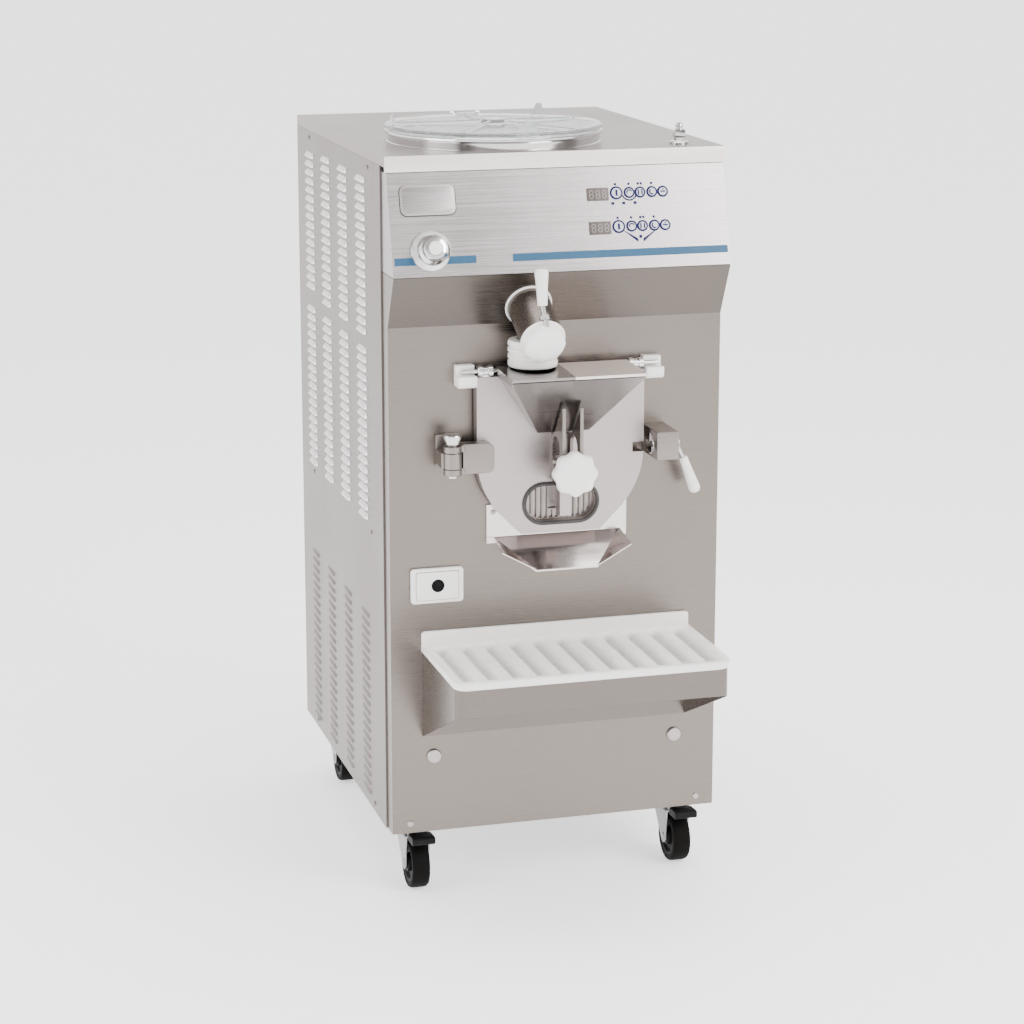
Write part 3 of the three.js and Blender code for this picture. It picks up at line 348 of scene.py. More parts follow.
def lathe(name, profile, origin, axis, look, body=ROOT, steps=56, smooth=32, turn=0.0):
    """Turned piece: (radius, height) in mm along the axis from origin."""
    u, v, w = frame_of(axis)
    verts, faces, rows = [], [], []
    for r, h in profile:
        row = []
        for i in range(1 if r < 1e-6 else steps):
            t = turn + 2 * math.pi * i / steps
            row.append(len(verts))
            verts.append(origin + w * h * MM + (u * math.cos(t) + v * math.sin(t)) * r * MM)
        rows.append(row)
    for a, b in zip(rows, rows[1:]):
        for i in range(steps):
            j = (i + 1) % steps
            if len(a) == 1 and len(b) == 1:
                continue
            if len(a) == 1:
                faces.append((a[0], b[j], b[i]))
            elif len(b) == 1:
                faces.append((a[i], a[j], b[0]))
            else:
                faces.append((a[i], a[j], b[j], b[i]))
    bm = bmesh.new()
    made = [bm.verts.new(v) for v in verts]
    for face in faces:
        bm.faces.new([made[i] for i in face])
    return from_bmesh(name, bm, look, body, smooth)


def prism(name, outline, origin, u, v, length, look, body=ROOT, bevel=0.0, smooth=32):
    """Outline in mm along u and v, extruded by length in mm along u x v."""
    w = u.cross(v)
    bm = bmesh.new()
    low = [bm.verts.new(origin + (u * a + v * b) * MM) for a, b in outline]
    high = [bm.verts.new(item.co + w * length * MM) for item in low]
    count = len(low)
    bm.faces.new(low[::-1])
    bm.faces.new(high)
    for i in range(count):
        j = (i + 1) % count
        bm.faces.new((low[i], low[j], high[j], high[i]))
    if bevel:
        bmesh.ops.recalc_face_normals(bm, faces=bm.faces)
        sharp = [e for e in bm.edges if e.calc_face_angle(0) > math.radians(40)]
        bmesh.ops.bevel(bm, geom=sharp, offset=bevel * MM, segments=3, profile=0.6, affect="EDGES")
    return from_bmesh(name, bm, look, body, smooth)


def block(name, x, out, z, look, body=ROOT, bevel=1.2):
    """Box given as (low, high) pairs in mm; out is measured forward from the cabinet front."""
    origin = at(x[0], out[1], z[0])
    outline = [(0, 0), (x[1] - x[0], 0), (x[1] - x[0], out[1] - out[0]), (0, out[1] - out[0])]
    return prism(name, outline, origin, X_AXIS, Y_AXIS, z[1] - z[0], look, body, bevel)


def arc(cx, cy, r, start, end, steps):
    turns = [math.radians(start + (end - start) * i / steps) for i in range(steps + 1)]
    return [(cx + r * math.cos(t), cy + r * math.sin(t)) for t in turns]


def rounded(x0, x1, y0, y1, r, steps=6):
    return (
        arc(x1 - r, y0 + r, r, -90, 0, steps) + arc(x1 - r, y1 - r, r, 0, 90, steps)
        + arc(x0 + r, y1 - r, r, 90, 180, steps) + arc(x0 + r, y0 + r, r, 180, 270, steps)
    )


def wire(name, points, radius, look, body=ROOT, cyclic=False, hint=Z_AXIS, smooth=60):
    """Round bar along points in metres, radius in mm."""
    bm = bmesh.new()
    rings = []
    count = len(points)
    for i, p in enumerate(points):
        before = points[i - 1] if i or cyclic else p
        after = points[(i + 1) % count] if i < count - 1 or cyclic else p
        u, v, _ = frame_of(after - before, hint)
        ring = []
        for k in range(14):
            t = 2 * math.pi * k / 14
            ring.append(bm.verts.new(p + (u * math.cos(t) + v * math.sin(t)) * radius * MM))
        rings.append(ring)
    pairs = list(zip(rings, rings[1:])) + ([(rings[-1], rings[0])] if cyclic else [])
    for a, b in pairs:
        for k in range(14):
            n = (k + 1) % 14
            bm.faces.new((a[k], a[n], b[n], b[k]))
    if not cyclic:
        bm.faces.new(rings[0][::-1])
        bm.faces.new(rings[-1])
    return from_bmesh(name, bm, look, body, smooth)


# ------------------------------------------------------------------ header face
HEADER_OUT, HEADER_LOW, HEADER_HIGH = 52.0, 1206.0, 1389.0
HEADER_UP = Vector((0, HEADER_OUT, HEADER_HIGH - HEADER_LOW)).normalized()
HEADER_NORMAL = Vector((0, -HEADER_UP.z, HEADER_UP.y))


def on_header(x, z, rise=0.0):
    out = HEADER_OUT * (HEADER_HIGH - z) / (HEADER_HIGH - HEADER_LOW)
    return at(x, out, z) + HEADER_NORMAL * rise * MM


def decal(name, outline, x, z, rise, thick, look, bevel=0.0):
    return prism(name, outline, on_header(x, z, rise), X_AXIS, HEADER_UP, thick, look, ROOT, bevel)


def segment_digit(x, z, name):
    """One figure-of-eight numeral of seven bars."""
    bars = [(0, 7), (0, 0), (0, -7)]
    for i, (dx, dz) in enumerate(bars):
        decal(
            f"{name}_h{i}", rounded(dx - 2.6, dx + 2.6, dz - 0.7, dz + 0.7, 0.5, 2), x, z, 1.7, 0.2,
            "digit",
        )
    for i, (dx, dz) in enumerate([(-3.4, 3.5), (3.4, 3.5), (-3.4, -3.5), (3.4, -3.5)]):
        decal(
            f"{name}_v{i}", rounded(dx - 0.7, dx + 0.7, dz - 2.6, dz + 2.6, 0.5, 2), x, z, 1.7, 0.2,
            "digit",
        )


KEY_X = (109, 134, 155, 178, 199)
KEY_R = (12.4, 10.6, 10.6, 10.6, 10.6)


def key_glyph(name, x, z, kind):
    shapes = {
        0: [rounded(-2.2, 2.2, -6, 6, 2)],
        1: [arc(0, 0, 6, 20, 200, 10) + arc(0, 0, 3.4, 200, 20, 10)],
        2: [rounded(-5, -2, -5, 5, 1), rounded(2, 5, -5, 5, 1)],
        3: [arc(0, 0, 6, 120, 300, 10) + arc(0, 0, 3.2, 300, 120, 10)],
        4: [rounded(-5, 5, -1.4, 1.4, 1.2), rounded(-1.4, 1.4, 2.6, 5.6, 1.2)],
    }
    for i, outline in enumerate(shapes[kind]):
        decal(f"{name}_glyph{i}", outline, x, z, 1.5, 0.25, "ink")


def control_row(tag, z):
    window = decal(f"{tag}_display", rounded(-21, 21, -12, 12, 1.5), 73, z - 1.5, 0.05, 1.4, "screen", 0.4)
    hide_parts(f"control_{tag}")
    for i, x in enumerate((60.5, 73, 85.5)):
        segment_digit(x, z - 1.5, f"{tag}_figure{i}")
    for i, (x, r) in enumerate(zip(KEY_X, KEY_R)):
        origin = on_header(x, z)
        lathe(
            f"{tag}_ring{i}", [(0, 0.05), (r, 0.05), (r, 0.9), (r - 0.6, 1.2), (0, 1.2)], origin,
            HEADER_NORMAL, "ink",
        )
        inner = r - 3.3
        lathe(
            f"{tag}_pad{i}", [(0, 1.0), (inner, 1.0), (inner - 0.4, 1.5), (0, 1.6)], origin,
            HEADER_NORMAL, "pad",
        )
        key_glyph(f"{tag}_key{i}", x, z, i)
    for i, x in enumerate((108, 134, 152, 158, 178)):
        decal(f"{tag}_mark{i}", rounded(-2.4, 2.4, -2.4, 2.4, 1.8, 3), x, z + 15.5, 0.05, 0.3, "ink")


def header_details():
    block("front_flange", (-325, 325), (0.05, 0.55), (1390.5, 1419.6), "flange", ROOT, 0.2)
    for name, x0, x1 in (("stripe_left", -318, -166), ("stripe_right", -97, 318)):
        decal(name, [(x0, -7), (x1, -7), (x1, 7), (x0, 7)], 0, 1234, 0.05, 0.25, "blue")
    # Painted shadow: a dark decal showing round the badge, widest below it and at its right.
    decal("badge_shadow", rounded(-52.4, 52.6, -29.6, 28.6, 13, 8), -249, 1340.5, 0.04, 1.0, "seal")
    badge = decal("badge", rounded(-51, 51, -28, 28, 12, 8), -249, 1340.5, 0.05, 2.6, "machined", 1.0)
    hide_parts("badge_plate")
    decal("badge_rim", rounded(-47, 47, -24, 24, 10, 8), -249, 1340.5, 2.4, 0.5, "header", 0.3)
    control_row("upper", 1341)
    control_row("lower", 1281)
    arm = arc(0, 0, 15.5, 200, 340, 14) + arc(0, 0, 12.6, 340, 200, 14)
    decal("upper_arc", arm, 134, 1341, 0.05, 0.3, "ink")
    for i, x in enumerate((101, 122, 144)):
        decal(f"upper_icon{i}", rounded(-3.2, 3.2, -2.6, 2.6, 1.5, 3), x, 1322.5, 0.05, 0.3, "ink")
    for side in (-1, 1):
        wing = [(side * 5, -18), (side * 38, 2), (side * 12, -19), (side * 5, -25)]
        decal(f"lower_wing{side}", wing if side > 0 else wing[::-1], 150, 1276, 0.05, 0.3, "ink")
    decal("lower_icon", rounded(-3, 3, -3, 3, 1.5, 3), 150, 1262, 0.05, 0.3, "ink")


def tap():
    origin = on_header(-250, 1251)
    body = lathe("tap", [
        (0, 0.1), (37, 0.1), (37.4, 2.5), (36, 5), (31, 7), (27, 8.5), (28.5, 12), (29, 17), (27, 23),
        (23.5, 28), (22, 31), (21.5, 36), (19.5, 39.5), (14.2, 40.5), (13.2, 39.5), (13.2, 25.5), (0, 25.5),
    ], origin, HEADER_NORMAL, "chrome")
    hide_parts("tap_body")
    button = lathe("tap_push", [
        (0, 30.6), (12.4, 30.6), (12.4, 42.5), (11.6, 44.2), (9.6, 45), (0, 44.2),
    ], origin, HEADER_NORMAL, "white", "tap_button")
    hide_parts("tap_button")


def hose_stub():
    origin = at(255, -58, 1420)
    stub = lathe("hose_stub", [
        (0, 0.1), (18, 0.1), (18, 3.6), (16.6, 5), (11, 5.4), (9.5, 7), (9.5, 12), (0, 12.2),
    ], origin, Z_AXIS, "bright")
    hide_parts("hose_fitting")
    lathe(
        "hose_nut", [(0, 12), (11.6, 12), (12, 13), (12, 25), (11.2, 26.5), (0, 26.5)], origin, Z_AXIS,
        "bright", steps=6,
    )
    lathe(
        "hose_tip",
        [(0, 26), (7, 26), (7.4, 28), (6, 31), (7.4, 33.5), (6, 37), (4.6, 39.8), (0, 39.8)], origin,
        Z_AXIS, "chrome",
    )


# ------------------------------------------------------------------ mixing tank and its lid
TANK = at(-62, -214, 1120)
RIM = 324.0


def tank():
    vessel = lathe("tank_vessel", [
        (0, 3), (170, 3), (184, 8), (187, 22), (187, RIM - 1), (188.5, RIM), (203, RIM), (206, RIM - 2.5),
        (206, RIM - 6), (202, RIM - 10), (201, 302), (203, 300.3), (190.4, 300.3), (190.4, 20),
        (186, 4), (172, 0), (0, 0),
    ], TANK, Z_AXIS, "bright", steps=96)
    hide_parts("mixing_tank")
    for side in (-1, 1):
        outline = [
            (400, 1424), (424, 1424), (434, 1440), (435, 1448), (428, 1455), (421, 1448), (416, 1436),
            (400, 1436),
        ]
        origin = at(-62 + side * 26 - 4, 0, 0)
        prism(f"tank_ear{side}", outline, origin, Y_AXIS, Z_AXIS, 8, "bright", ROOT, 0.8)
    wire("tank_pin", [at(-90, -428, 1448), at(-34, -428, 1448)], 4, "chrome")


def lid_fin(name, outline, degrees, radius=194.0, thick=5.0):
    t = math.radians(degrees)
    radial = Vector((math.cos(t), math.sin(t), 0))
    tangent = Vector((-math.sin(t), math.cos(t), 0))
    origin = TANK + radial * radius * MM + Z_AXIS * (RIM + 3) * MM
    prism(name, outline, origin, tangent, Z_AXIS, thick, "clear", "tank_lid", 1.2)


def tank_lid():
    low = RIM + 0.6
    disc = lathe("lid_disc", [
        (0, low + 2), (150, low + 2), (178, low + 0.6), (196, low), (203, low + 0.6), (206, low + 3),
        (206, low + 6),
        (203, low + 9), (198, low + 9.6), (192, low + 8), (184, low + 4.4), (150, low + 5.6), (28, low + 6.6),
        (25, low + 10), (22, low + 16), (14, low + 18), (0, low + 18),
    ], TANK, Z_AXIS, "clear", "tank_lid", 96)
    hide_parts("tank_lid")
    lid_fin("lid_lug_left", [(-17, 0), (17, 0), (12, 8), (5, 24), (0, 31), (-5, 24), (-12, 8)], 180)
    lid_fin("lid_lug_back", [(-15, 0), (15, 0), (11, 10), (5, 26), (-5, 26), (-11, 10)], 48)
    lid_fin("lid_tab", arc(0, 0, 24, 0, 180, 20), -87)
    rib = ((24, 12), (80, 9), (140, 7), (188, 6))
    for i in range(5):
        t = math.radians(20 + 72 * i)
        radial = Vector((math.cos(t), math.sin(t), 0))
        points = [TANK + radial * r * MM + Z_AXIS * (low + h) * MM for r, h in rib]
        wire(f"lid_rib{i}", points, 3.0, "clear", "tank_lid")
    wire("lid_knuckle", [at(-81, -428, 1448), at(-43, -428, 1448)], 7.5, "clear", "tank_lid")
    block("lid_strap", (-82, -42), (-424, -400), (1444.6, 1449.6), "clear", "tank_lid", 1.0)


# ------------------------------------------------------------------ transfer tube and valve
SLOPE = Vector((0, -99, -50)).normalized()
RISE = Vector((0, SLOPE.z, -SLOPE.y))
TUBE = at(-60, 17.5, 1140.65)


def tube_point(s, rise=0.0):
    return TUBE + (SLOPE * s + RISE * rise) * MM


def transfer():
    pipe = lathe(
        "pipe", [(34.3, -20), (36.6, -20), (36.6, 0.8), (40, 0.8), (40, 103), (39, 104), (34.3, 104)],
        TUBE, SLOPE, "panel", steps=72,
    )
    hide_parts("transfer_tube")
    seal = lathe(
        "pipe_seal", [(40.3, 0.4), (43, 0.4), (44.6, 1.6), (44.2, 3.4), (42, 4.2), (40.3, 3.6)], TUBE,
        SLOPE, "white", steps=72,
    )
    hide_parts("tube_seal")
    plug = lathe("plug", [
        (26, -20), (33.6, -20), (33.6, 104.6), (41.4, 104.8), (42, 106), (41.4, 108.6), (37.4, 109.4),
        (36.2, 111),
        (37, 113), (37.4, 122), (36, 126), (32.5, 128.4), (24, 129.3), (16, 129.6), (15, 128.4), (0, 128.4),
    ], TUBE, SLOPE, "white", "valve", 72)
    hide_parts("valve_plug")
    lobed(
        "plug_hub", tube_point(0), SLOPE,
        ((112.6, 0.93), (114, 1.0), (122, 1.0), (125.4, 0.96), (127.6, 0.86), (128.6, 0.7)), 37.2, 1.5,
        7, "white", "valve",
    )
    foot, head = tube_point(117, 37), at(-62, 117.2, 1153)
    lever = wire("lever", [foot, head], 4.6, "bright", "valve")
    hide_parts("valve_lever")
    lathe(
        "lever_nut", [(0, 0), (9, 0), (9, 7), (0, 7)], foot.lerp(head, 0.35), head - foot, "bright",
        "valve", 6,
    )
    base, top = at(-62, 116, 1155), at(-62, 108, 1221)
    grip = lathe("lever_grip", [
        (0, 0.4), (8, 0.4), (9.2, 3), (9.4, 10), (10.2, 30), (11.6, 48), (12.6, 57), (12.2, 62),
        (10, 65.4), (6, 66.8), (0, 67.2),
    ], base, top - base, "white", "valve", 40)
    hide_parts("valve_grip")


def cuff():
    profile = [(30, 0), (42, 0), (45, 1.5), (46, 4)]
    for h in (14, 26, 38):
        profile += [(46, h - 3), (43.4, h - 1), (43.4, h + 1), (46, h + 3)]
    profile += [(46, 46), (44, 50), (30, 51), (30, 0)]
    ring = lathe("cuff", profile, at(-61, 50, 1033), Z_AXIS, "white", steps=64, smooth=50)
    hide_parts("spout_cuff")
    lathe(
        "cuff_shadow_ring", [(34, -0.7), (42, -0.7), (42.6, -0.1), (34, 0.2)], at(-61, 50, 1033),
        Z_AXIS, "dark",
    )


# ------------------------------------------------------------------ door furniture
def lid_rod():
    rod = wire("rod", [at(-190, 25, 1023), at(190, 25, 1023)], 4, "chrome", "door")
    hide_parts("lid_rod")
    for side in (-1, 1):
        lathe(f"clamp{side}", [
            (0, 131), (9.5, 131), (10.5, 132), (10.5, 140), (8.4, 141.5), (8.4, 149.5), (10.5, 151),
            (10.5, 159), (9.5, 160), (0, 160),
        ], at(0, 25, 1023), X_AXIS * side, "chrome", "door", 40)
        x = (136, 155) if side > 0 else (-155, -136)
        block(f"clamp_foot{side}", x, (12, 29), (1012.4, 1019), "bright", "door", 0.8)
        name = "rod_block_right" if side > 0 else "rod_block_left"
        outline = [(0.3, 994), (34, 994), (40, 1000), (40, 1016), (19, 1016), (19, 1034), (0.3, 1034)]
        low = 163 if side > 0 else -198
        body = prism(f"bearing{side}", outline, at(low, 0, 0) , -Y_AXIS, Z_AXIS, -35, "white", ROOT, 2.0)
        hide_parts(name)


def hinge():
    place = at(-215, 55, 0)
    block("hinge_base", (-236, -197), (0.3, 14), (846, 905), "block", ROOT, 1.5)
    web = block("hinge_web", (-236, -199), (10, 55), (850.5, 880), "block", ROOT, 1.5)
    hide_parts("hinge_bracket")
    lathe(
        "hinge_barrel", [(0, 850.6), (16.4, 850.6), (17, 851.4), (17, 879), (16.4, 879.9), (0, 879.9)],
        place, Z_AXIS, "block",
    )
    for i, (z0, z1) in enumerate(((838, 850), (880.5, 892.5))):
        lathe(
            f"hinge_ear{i}", [(6.4, z0), (16, z0), (17, z0 + 1), (17, z1 - 1), (16, z1), (6.4, z1)],
            place, Z_AXIS, "block", "door",
        )
        block(f"hinge_link{i}", (-214, -190), (38, 58), (z0, z1), "block", "door", 0.8)
    outline = [(-196, 838)] + arc(-148, 850, 12, -90, 0, 6) + arc(-148, 882, 12, 0, 90, 6) + [(-196, 894)]
    arm = prism("hinge_plate", outline, at(0, 30.3, 0), X_AXIS, Z_AXIS, 27.7, "block", "door", 1.6)
    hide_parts("hinge_arm")
    cap = lathe("hinge_cap", [
        (0, 833), (8.6, 833), (9, 834), (9, 836.6), (6, 837), (6, 893), (11.5, 893), (12, 894),
        (13, 899), (17.6, 909),
        (18, 912), (17, 914), (14, 915), (0, 915),
    ], place, Z_AXIS, "bright")
    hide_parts("hinge_pin")


def latch():
    axis = at(0, 47.6, 873)
    body = block("latch_body", (169.6, 212.6), (0.3, 88), (848, 901), "block", ROOT, 2.0)
    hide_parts("latch_block")
    drum = lathe(
        "latch_drum", [(0, 167.9), (19.6, 167.9), (20.8, 168.8), (20.8, 169.6), (0, 169.6)], axis,
        X_AXIS, "bright", "latch",
    )
    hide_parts("latch_shaft")
    lathe(
        "latch_collar",
        [
            (0, 212.8), (20.5, 212.8), (22, 214), (22, 215.4),
            (10, 216), (6.4, 217), (6.2, 225), (5, 226.4), (0, 226.4),
        ],
        axis, X_AXIS, "bright", "latch",
    )
    pin = at(0, 58.3, 864)
    lathe("latch_pin", [(0, 170), (6.5, 170), (6.5, 166)], pin, X_AXIS, "chrome", "latch")
    lathe("latch_tip", [(6.5, 166), (6.2, 164.6), (4.8, 163.5), (0, 163.4)], pin, X_AXIS, "black", "latch")
    wire("latch_rod", [at(221, 47.6, 873), at(225, 47.6, 862), at(234, 47.6, 844)], 4.5, "bright", "latch")
    start, direction = at(234, 47.6, 843.5), Vector((27, 0, -69.5))
    grip = lathe("latch_handle", [
        (0, 0.6), (6.6, 0.6), (8, 2.6), (8.3, 12), (9, 28), (10.3, 50), (11, 62), (10.6, 69), (8.4, 73),
        (4.6, 74.4), (0, 74.6),
    ], start, direction, "white", "latch", 40)
    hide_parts("latch_grip")


def lobed(name, origin, axis, rings, radius, wave, lobes, look, body):
    """Turned grip with a wavy rim; rings are (distance along the axis in mm, share of the radius)."""
    u, v, w = frame_of(axis)
    steps = 112
    bm = bmesh.new()
    rows = []
    for along, share in rings:
        row = []
        for i in range(steps):
            t = 2 * math.pi * i / steps
            depth = min(1.0, max(0.0, (share - 0.3) / 0.6))
            reach = (radius + wave * math.cos(lobes * t) * depth) * share
            row.append(bm.verts.new(origin + (w * along + (u * math.cos(t) + v * math.sin(t)) * reach) * MM))
        rows.append(row)
    for a, b in zip(rows, rows[1:]):
        for i in range(steps):
            j = (i + 1) % steps
            bm.faces.new((a[i], a[j], b[j], b[i]))
    bm.faces.new(rows[0])
    bm.faces.new(rows[-1][::-1])
    return from_bmesh(name, bm, look, body, 40)


def gate_knob():
    rings = (
        (107.5, 0.82), (108.5, 0.92), (111, 0.98), (114, 1.0), (124, 1.0), (128, 0.975), (131, 0.92),
        (132.6, 0.84), (133, 0.6), (132.2, 0.3),
    )
    knob = lobed("knob", at(0, 0, 841), -Y_AXIS, rings, 40.6, 2.3, 8, "white", "gate_knob")
    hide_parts("gate_knob")
    lathe(
        "knob_neck", [(0, 61.6), (8.6, 61.6), (9, 63), (9, 100), (14, 104), (26, 107), (0, 107.4)],
        at(0, 0, 841), -Y_AXIS, "block", "gate_knob",
    )


def outlet_seal():
    path = arc(34, 766, 37.6, -90, 90, 24) + arc(-34, 766, 37.6, 90, 270, 24)
    ring = wire("outlet_ring", [at(x, 31.6, z) for x, z in path], 3.6, "seal", "door", True, Y_AXIS)
    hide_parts("outlet_seal")


def screw(name, place, axis, radius, look="machined", body=ROOT):
    lathe(
        name, [(0, 0), (radius, 0), (radius, 0.8), (radius * 0.86, 1.9), (radius * 0.5, 2.5), (0, 2.6)],
        place, axis, look, body, 28,
    )


# ------------------------------------------------------------------ low front fittings
def socket_box():
    base = prism(
        "socket_plate", rounded(-284, -183, 583, 650, 7, 8), at(0, 0.3, 0), X_AXIS, Z_AXIS, 8.7,
        "white", ROOT, 2.4,
    )
    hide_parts("socket_box")
    prism(
        "socket_line", rounded(-275.2, -191.8, 588.8, 644.2, 3.6, 4), at(0, 8.6, 0), X_AXIS, Z_AXIS,
        0.6, "digit",
    )
    prism(
        "socket_frame", rounded(-274, -193, 590, 643, 3, 4), at(0, 8.4, 0), X_AXIS, Z_AXIS, 3.0,
        "white", ROOT, 1.2,
    )
    # Painted shade: a near-black disc stands for the shaded hole in the socket.
    lathe(
        "socket_hole_shade", [(0, 11.5), (11, 11.5), (12, 12.0), (12.4, 12.2), (12.4, 11.0)],
        at(-233, 0, 617), -Y_AXIS, "dark",
    )


def front_fasteners():
    for side in (-1, 1):
        lathe(
            f"plug_cap{side}", [(0, 0.2), (14, 0.2), (14, 3.4), (12.6, 5), (0, 5.4)],
            at(side * 240, 0, 280), -Y_AXIS, "machined",
        )
        screw(f"foot_bolt{side}", at(side * 287, 0.2, 148), -Y_AXIS, 6.5)
        screw(f"chute_screw{side}", at(side * 124.5, 5.1, 750), -Y_AXIS, 5.0)


def tray():
    """Moulded drip tray: rim, back upstand and eleven soft channels running front to back."""
    half, reach, rim_z, deep = 264.0, 257.5, 502.0, 12.0
    cols, rows = 300, 44
    bm = bmesh.new()
    grid = []
    for j in range(rows + 1):
        out = 8 + (reach - 8) * j / rows
        line = []
        for i in range(cols + 1):
            x = -half + 2 * half * i / cols
            line.append(bm.verts.new(tray_point(x, out, half, reach, rim_z, deep)))
        grid.append(line)
    for j in range(rows):
        for i in range(cols):
            bm.faces.new((grid[j][i], grid[j][i + 1], grid[j + 1][i + 1], grid[j + 1][i]))
    # The tray top carries painted shade in its channel floors.
    top = from_bmesh("tray_top", bm, "groove_shade", "tray", 60)
    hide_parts("drip_tray")
    edge = arc(-half + 24, reach - 24, 24, 180, 90, 10) + arc(half - 24, reach - 24, 24, 90, 0, 10)
    outline = [(-half, 3)] + edge + [(half, 3)]
    bm = bmesh.new()
    levels = ((486.4, -3.0), (488.0, -1.2), (491.0, 0.0), (498.0, 0.4), (501.0, -0.6), (rim_z + 0.2, -3.0))
    lines = []
    for z, grow in levels:
        lines.append(
            [bm.verts.new(at(x * (1 + grow / half), out + grow * out / reach, z)) for x, out in outline],
        )
    for a, b in zip(lines, lines[1:]):
        for i in range(len(a) - 1):
            bm.faces.new((a[i], a[i + 1], b[i + 1], b[i]))
    bm.faces.new(lines[0])
    from_bmesh("tray_rim", bm, "tray", "tray", 60)
    shape = [(-half, 488), (half, 488)] + arc(half - 6, 522, 6, 0, 90, 5) + arc(-half + 6, 522, 6, 90, 180, 5)
    prism("tray_upstand", shape, at(0, 0.6, 0), X_AXIS, Z_AXIS, 8.0, "tray", "tray", 2.2)


def tray_point(x, out, half, reach, rim_z, deep):
    corner = 24.0
    dx, dy = abs(x) - (half - corner), out - (reach - corner)
    inside = min(half - abs(x), reach - out)
    if dx > 0 and dy > 0:
        far = math.hypot(dx, dy)
        inside = corner - far
        if far > corner:
            x = math.copysign(half - corner + dx * corner / far, x)
            out = reach - corner + dy * corner / far
            inside = 0.0
    channel = 0.5 + 0.5 * math.cos(2 * math.pi * x / 46.5)
    rim = min(1.0, max(0.0, (inside - 9.0) / 9.0))
    ends = min(1.0, max(0.0, (out - 16.0) / 10.0)) * min(1.0, max(0.0, (reach - 16.0 - out) / 12.0))
    limit = 1.0 if abs(x) < 256.5 else 0.0
    dip = 3.0 * rim * rim * (3 - 2 * rim)
    groove = (channel ** 2.2) * ends * ends * (3 - 2 * ends) * rim * limit
    return at(x, out, rim_z - dip - deep * groove)


# ------------------------------------------------------------------ cabinet sides
LOUVRE_COLUMNS = (196, 353, 509, 663)
LOUVRE_GROUPS = ((1066, 1360), (707, 1034), (153, 525))


def louvres(side):
    """Pressed hoods on one side of the cabinet, each open at its rear end. The upper groups are painted
    bright as a highlight; each open mouth is closed by a near-black face of painted shade, with a strip of
    painted shadow on the panel just rearward of it.
    """
    tops, shade_faces = [bmesh.new(), bmesh.new()], bmesh.new()
    face = side * 325.05
    half, pitch = 28.5, 17.9
    for column, back in enumerate(LOUVRE_COLUMNS):
        for group, (low, high) in enumerate(LOUVRE_GROUPS):
            faint = group == 2
            tall, depth = (10.5, 5.6) if not faint else (9.5, 3.2)
            first = low + (11 if column == 3 and group == 0 else 0)
            for k in range(int((high - first) / pitch) + 1):
                hood(tops[faint], shade_faces, side, face, back, first + k * pitch, half, tall, depth)
    name = "left" if side < 0 else "right"
    # Upper groups in the painted-highlight hood steel, the low group in the plain side steel.
    from_bmesh(f"louvres_{name}", tops[0], "hood", ROOT, 50)
    from_bmesh(f"low_louvres_{name}", tops[1], "side", ROOT, 50)
    from_bmesh(f"louvre_mouth_shade_{name}", shade_faces, "dark", ROOT, 0)
    for i, (back, z) in enumerate(((672, 689), (140, 689), (672, 146), (136, 146), (672, 1385), (140, 1385))):
        screw(f"side_screw_{name}{i}", at(side * 325, -back, z), X_AXIS * side, 4.5, "block")


def hood(bm, shade_faces, side, face, back, z, half, tall, depth):
    rows = ((0.0, 0.0), (0.35, 0.62), (0.72, 1.0), (0.95, 0.86), (1.0, 0.0))
    grid = []
    for fall, swell in rows:
        line = []
        for u in (-1.0, -0.93, -0.8, 0.85, 1.0):
            ends = 1.0 if u < 0.9 else 0.0
            place = at(face + side * depth * swell * ends, -back + u * half, z + tall * (1 - fall))
            line.append(bm.verts.new(place))
        grid.append(line)
    for a, b in zip(grid, grid[1:]):
        for i in range(4):
            bm.faces.new((a[i], a[i + 1], b[i + 1], b[i]))
    # Painted shade: a near-black face closes the open rear mouth of the hood.
    mouth = [
        at(face + side * depth * swell * 0.98, -back - half * 0.985, z + tall * (1 - fall))
        for fall, swell in rows
    ]
    shade_faces.faces.new([shade_faces.verts.new(v) for v in mouth])
    # Painted shadow: a near-black strip on the panel just rearward of the mouth.
    mouth_shadow = ((-half - 4, z + 3), (-half, z + 2), (-half, z + tall), (-half - 4, z + tall - 1))
    shade_faces.faces.new([shade_faces.verts.new(at(face + side * 0.1, -back + a, b)) for a, b in mouth_shadow])


def rear_details():
    prism(
        "inlet_plate", rounded(-270, -210, 142, 176, 5), at(0, -790, 0) + Y_AXIS * 0.0002, -X_AXIS,
        Z_AXIS, 2.0, "black", ROOT, 0.6,
    )
    lathe(
        "inlet_gland", [(0, 0), (13, 0), (13, 3), (10, 4), (10, 7.6), (8, 8.2), (0, 8.2)],
        at(240, -792, 159), Y_AXIS, "black",
    )


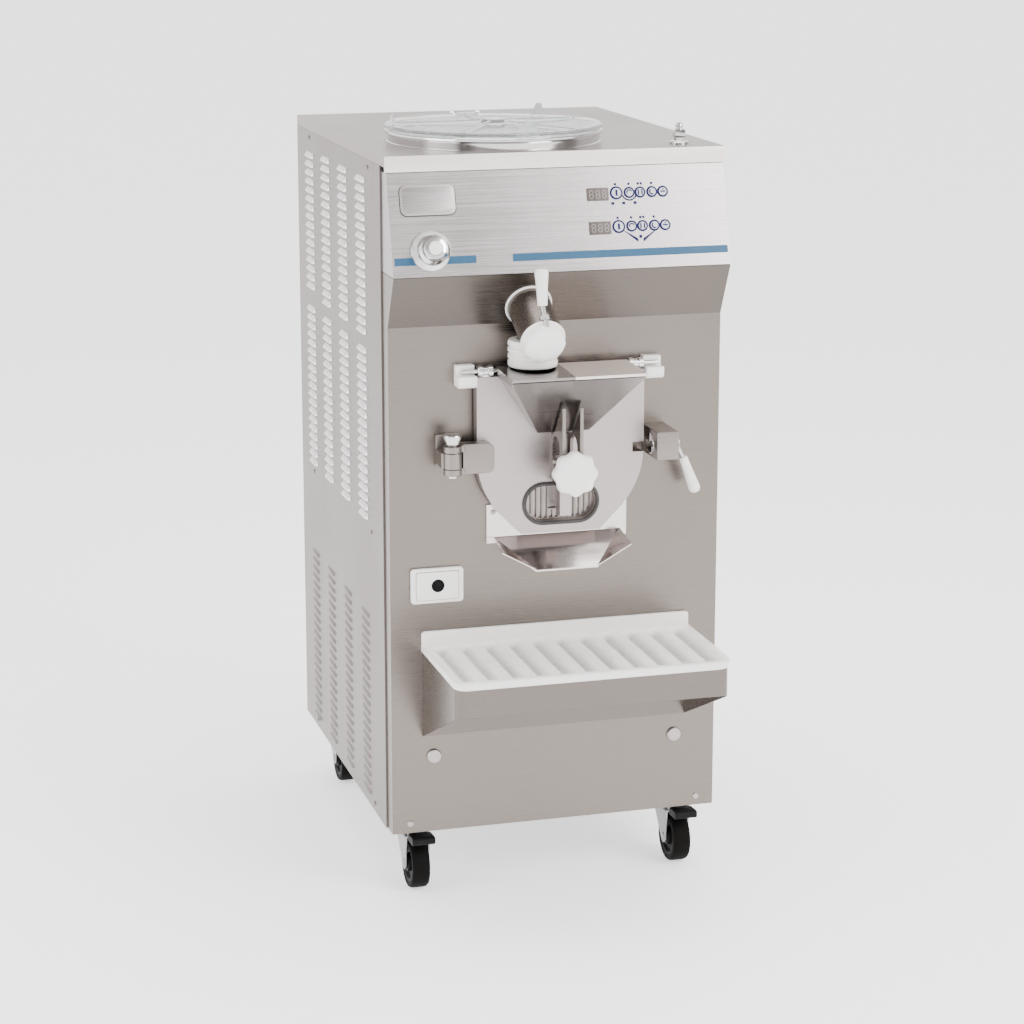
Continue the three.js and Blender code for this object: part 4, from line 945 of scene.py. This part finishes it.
# ------------------------------------------------------------------ casters
def caster(place, x, back, braked):
    fork, wheel = f"fork_{place}", f"wheel_{place}"
    axle = at(x, -(back - 40), 50)
    tyre = lathe(f"tyre_{place}", [
        (36, -16), (44, -17.6), (47.5, -17), (49.4, -14), (50, -8), (50, 8), (49.4, 14), (47.5, 17),
        (44, 17.6), (36, 16), (36, -16),
    ], axle, X_AXIS, "tyre", wheel, 64)
    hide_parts(f"caster_wheel_{place}")
    lathe(f"hub_{place}", [
        (6.5, -19.3), (16, -19.3), (17.5, -18.4), (18.5, -12), (30, -11), (33, -15.6), (37, -16.4),
        (38, -15), (38, 15),
        (37, 16.4), (33, 15.6), (30, 11), (18.5, 12), (17.5, 18.4), (16, 19.3), (6.5, 19.3), (6.5, -19.3),
    ], axle, X_AXIS, "black", wheel, 48)
    swivel = at(x, -back, 0)
    crown = lathe(f"crown_{place}", [
        (0, 104.6), (24, 104.6), (27.4, 106), (28, 109), (27, 112), (30, 113.4), (31.6, 116),
        (31.6, 122), (30, 123.6),
        (8, 123.7), (8, 127), (0, 127),
    ], swivel, Z_AXIS, "zinc", fork, 48)
    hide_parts(f"caster_fork_{place}")
    block(f"bridge_{place}", (x - 24, x + 24), (-(back + 20), -(back - 58)), (105, 109.5), "zinc", fork, 1.2)
    for side in (-1, 1):
        outline = [
            (-(back + 20), 109), (-(back + 10), 88), (-(back - 40 + 14), 46), (-(back - 40 + 8), 39),
            (-(back - 40), 36.5),
            (-(back - 40 - 8), 39), (-(back - 40 - 14), 46), (-(back - 58), 92), (-(back - 58), 109),
        ]
        low = x + side * 22.5 - 1.5
        prism(f"cheek_{place}{side}", outline, at(low, 0, 0), -Y_AXIS, Z_AXIS, -3, "zinc", fork, 0.9)
        screw(f"axle_nut_{place}{side}", axle + X_AXIS * side * 24 * MM, X_AXIS * side, 8.0, "zinc", fork)
    if braked:
        pivot = back - 67
        outline = [
            (-pivot + 3, 106), (8, 106), (13, 108), (15, 112), (15, 118), (13, 121), (8, 122.4),
            (-pivot + 3, 119.6),
        ]
        pedal = prism(
            f"pedal_{place}", outline, at(x - 22.5, 0, 0), -Y_AXIS, Z_AXIS, -45, "black",
            f"pedal_{place}", 2.0,
        )
        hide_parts(f"brake_pedal_{place}")
        lathe(
            f"pedal_pivot_{place}", [(3.4, -14.6), (6.6, -14.6), (6.6, 14.6), (3.4, 14.6)],
            at(x, -pivot, 113), X_AXIS, "black", f"pedal_{place}", 28,
        )
        for side in (-1, 1):
            block(
                f"brake_ear_{place}{side}", (x + side * 18 - 2, x + side * 18 + 2),
                (-(pivot + 17), -(pivot - 6)), (106, 119), "zinc", fork, 0.8,
            )


def floor():
    bm = bmesh.new()
    size = 60.0
    corners = [(-size, -size), (size, -size), (size, size), (-size, size)]
    bm.faces.new([bm.verts.new((x, y, 0)) for x, y in corners])
    mesh = bpy.data.meshes.new("floor")
    bm.to_mesh(mesh)
    bm.free()
    mat, tree, bsdf = shader("floor_paper")
    grain = noise(tree, (14.0, 14.0, 14.0), 2.0)
    tree.links.new(tinted(tree, grain, (0.93, 0.93, 0.93), 0.01), bsdf.inputs["Base Color"])
    bsdf.inputs["Roughness"].default_value = 0.8
    bsdf.inputs["Emission Color"].default_value = (1.0, 1.0, 1.0, 1)
    bsdf.inputs["Emission Strength"].default_value = 0.95
    mesh.materials.append(mat)
    obj = bpy.data.objects.new("floor", mesh)
    bpy.context.collection.objects.link(obj)


camera()
studio()
floor()
dress_cad()
header_details()
tap()
hose_stub()
tank()
tank_lid()
transfer()
cuff()
lid_rod()
hinge()
latch()
gate_knob()
outlet_seal()
socket_box()
front_fasteners()
tray()
louvres(-1)
louvres(1)
rear_details()
for spot in (("front_left", -264, 95, True), ("front_right", 264, 95, True),
             ("rear_left", -264, 730, False), ("rear_right", 264, 730, False)):
    caster(*spot)

bpy.context.view_layer.update()
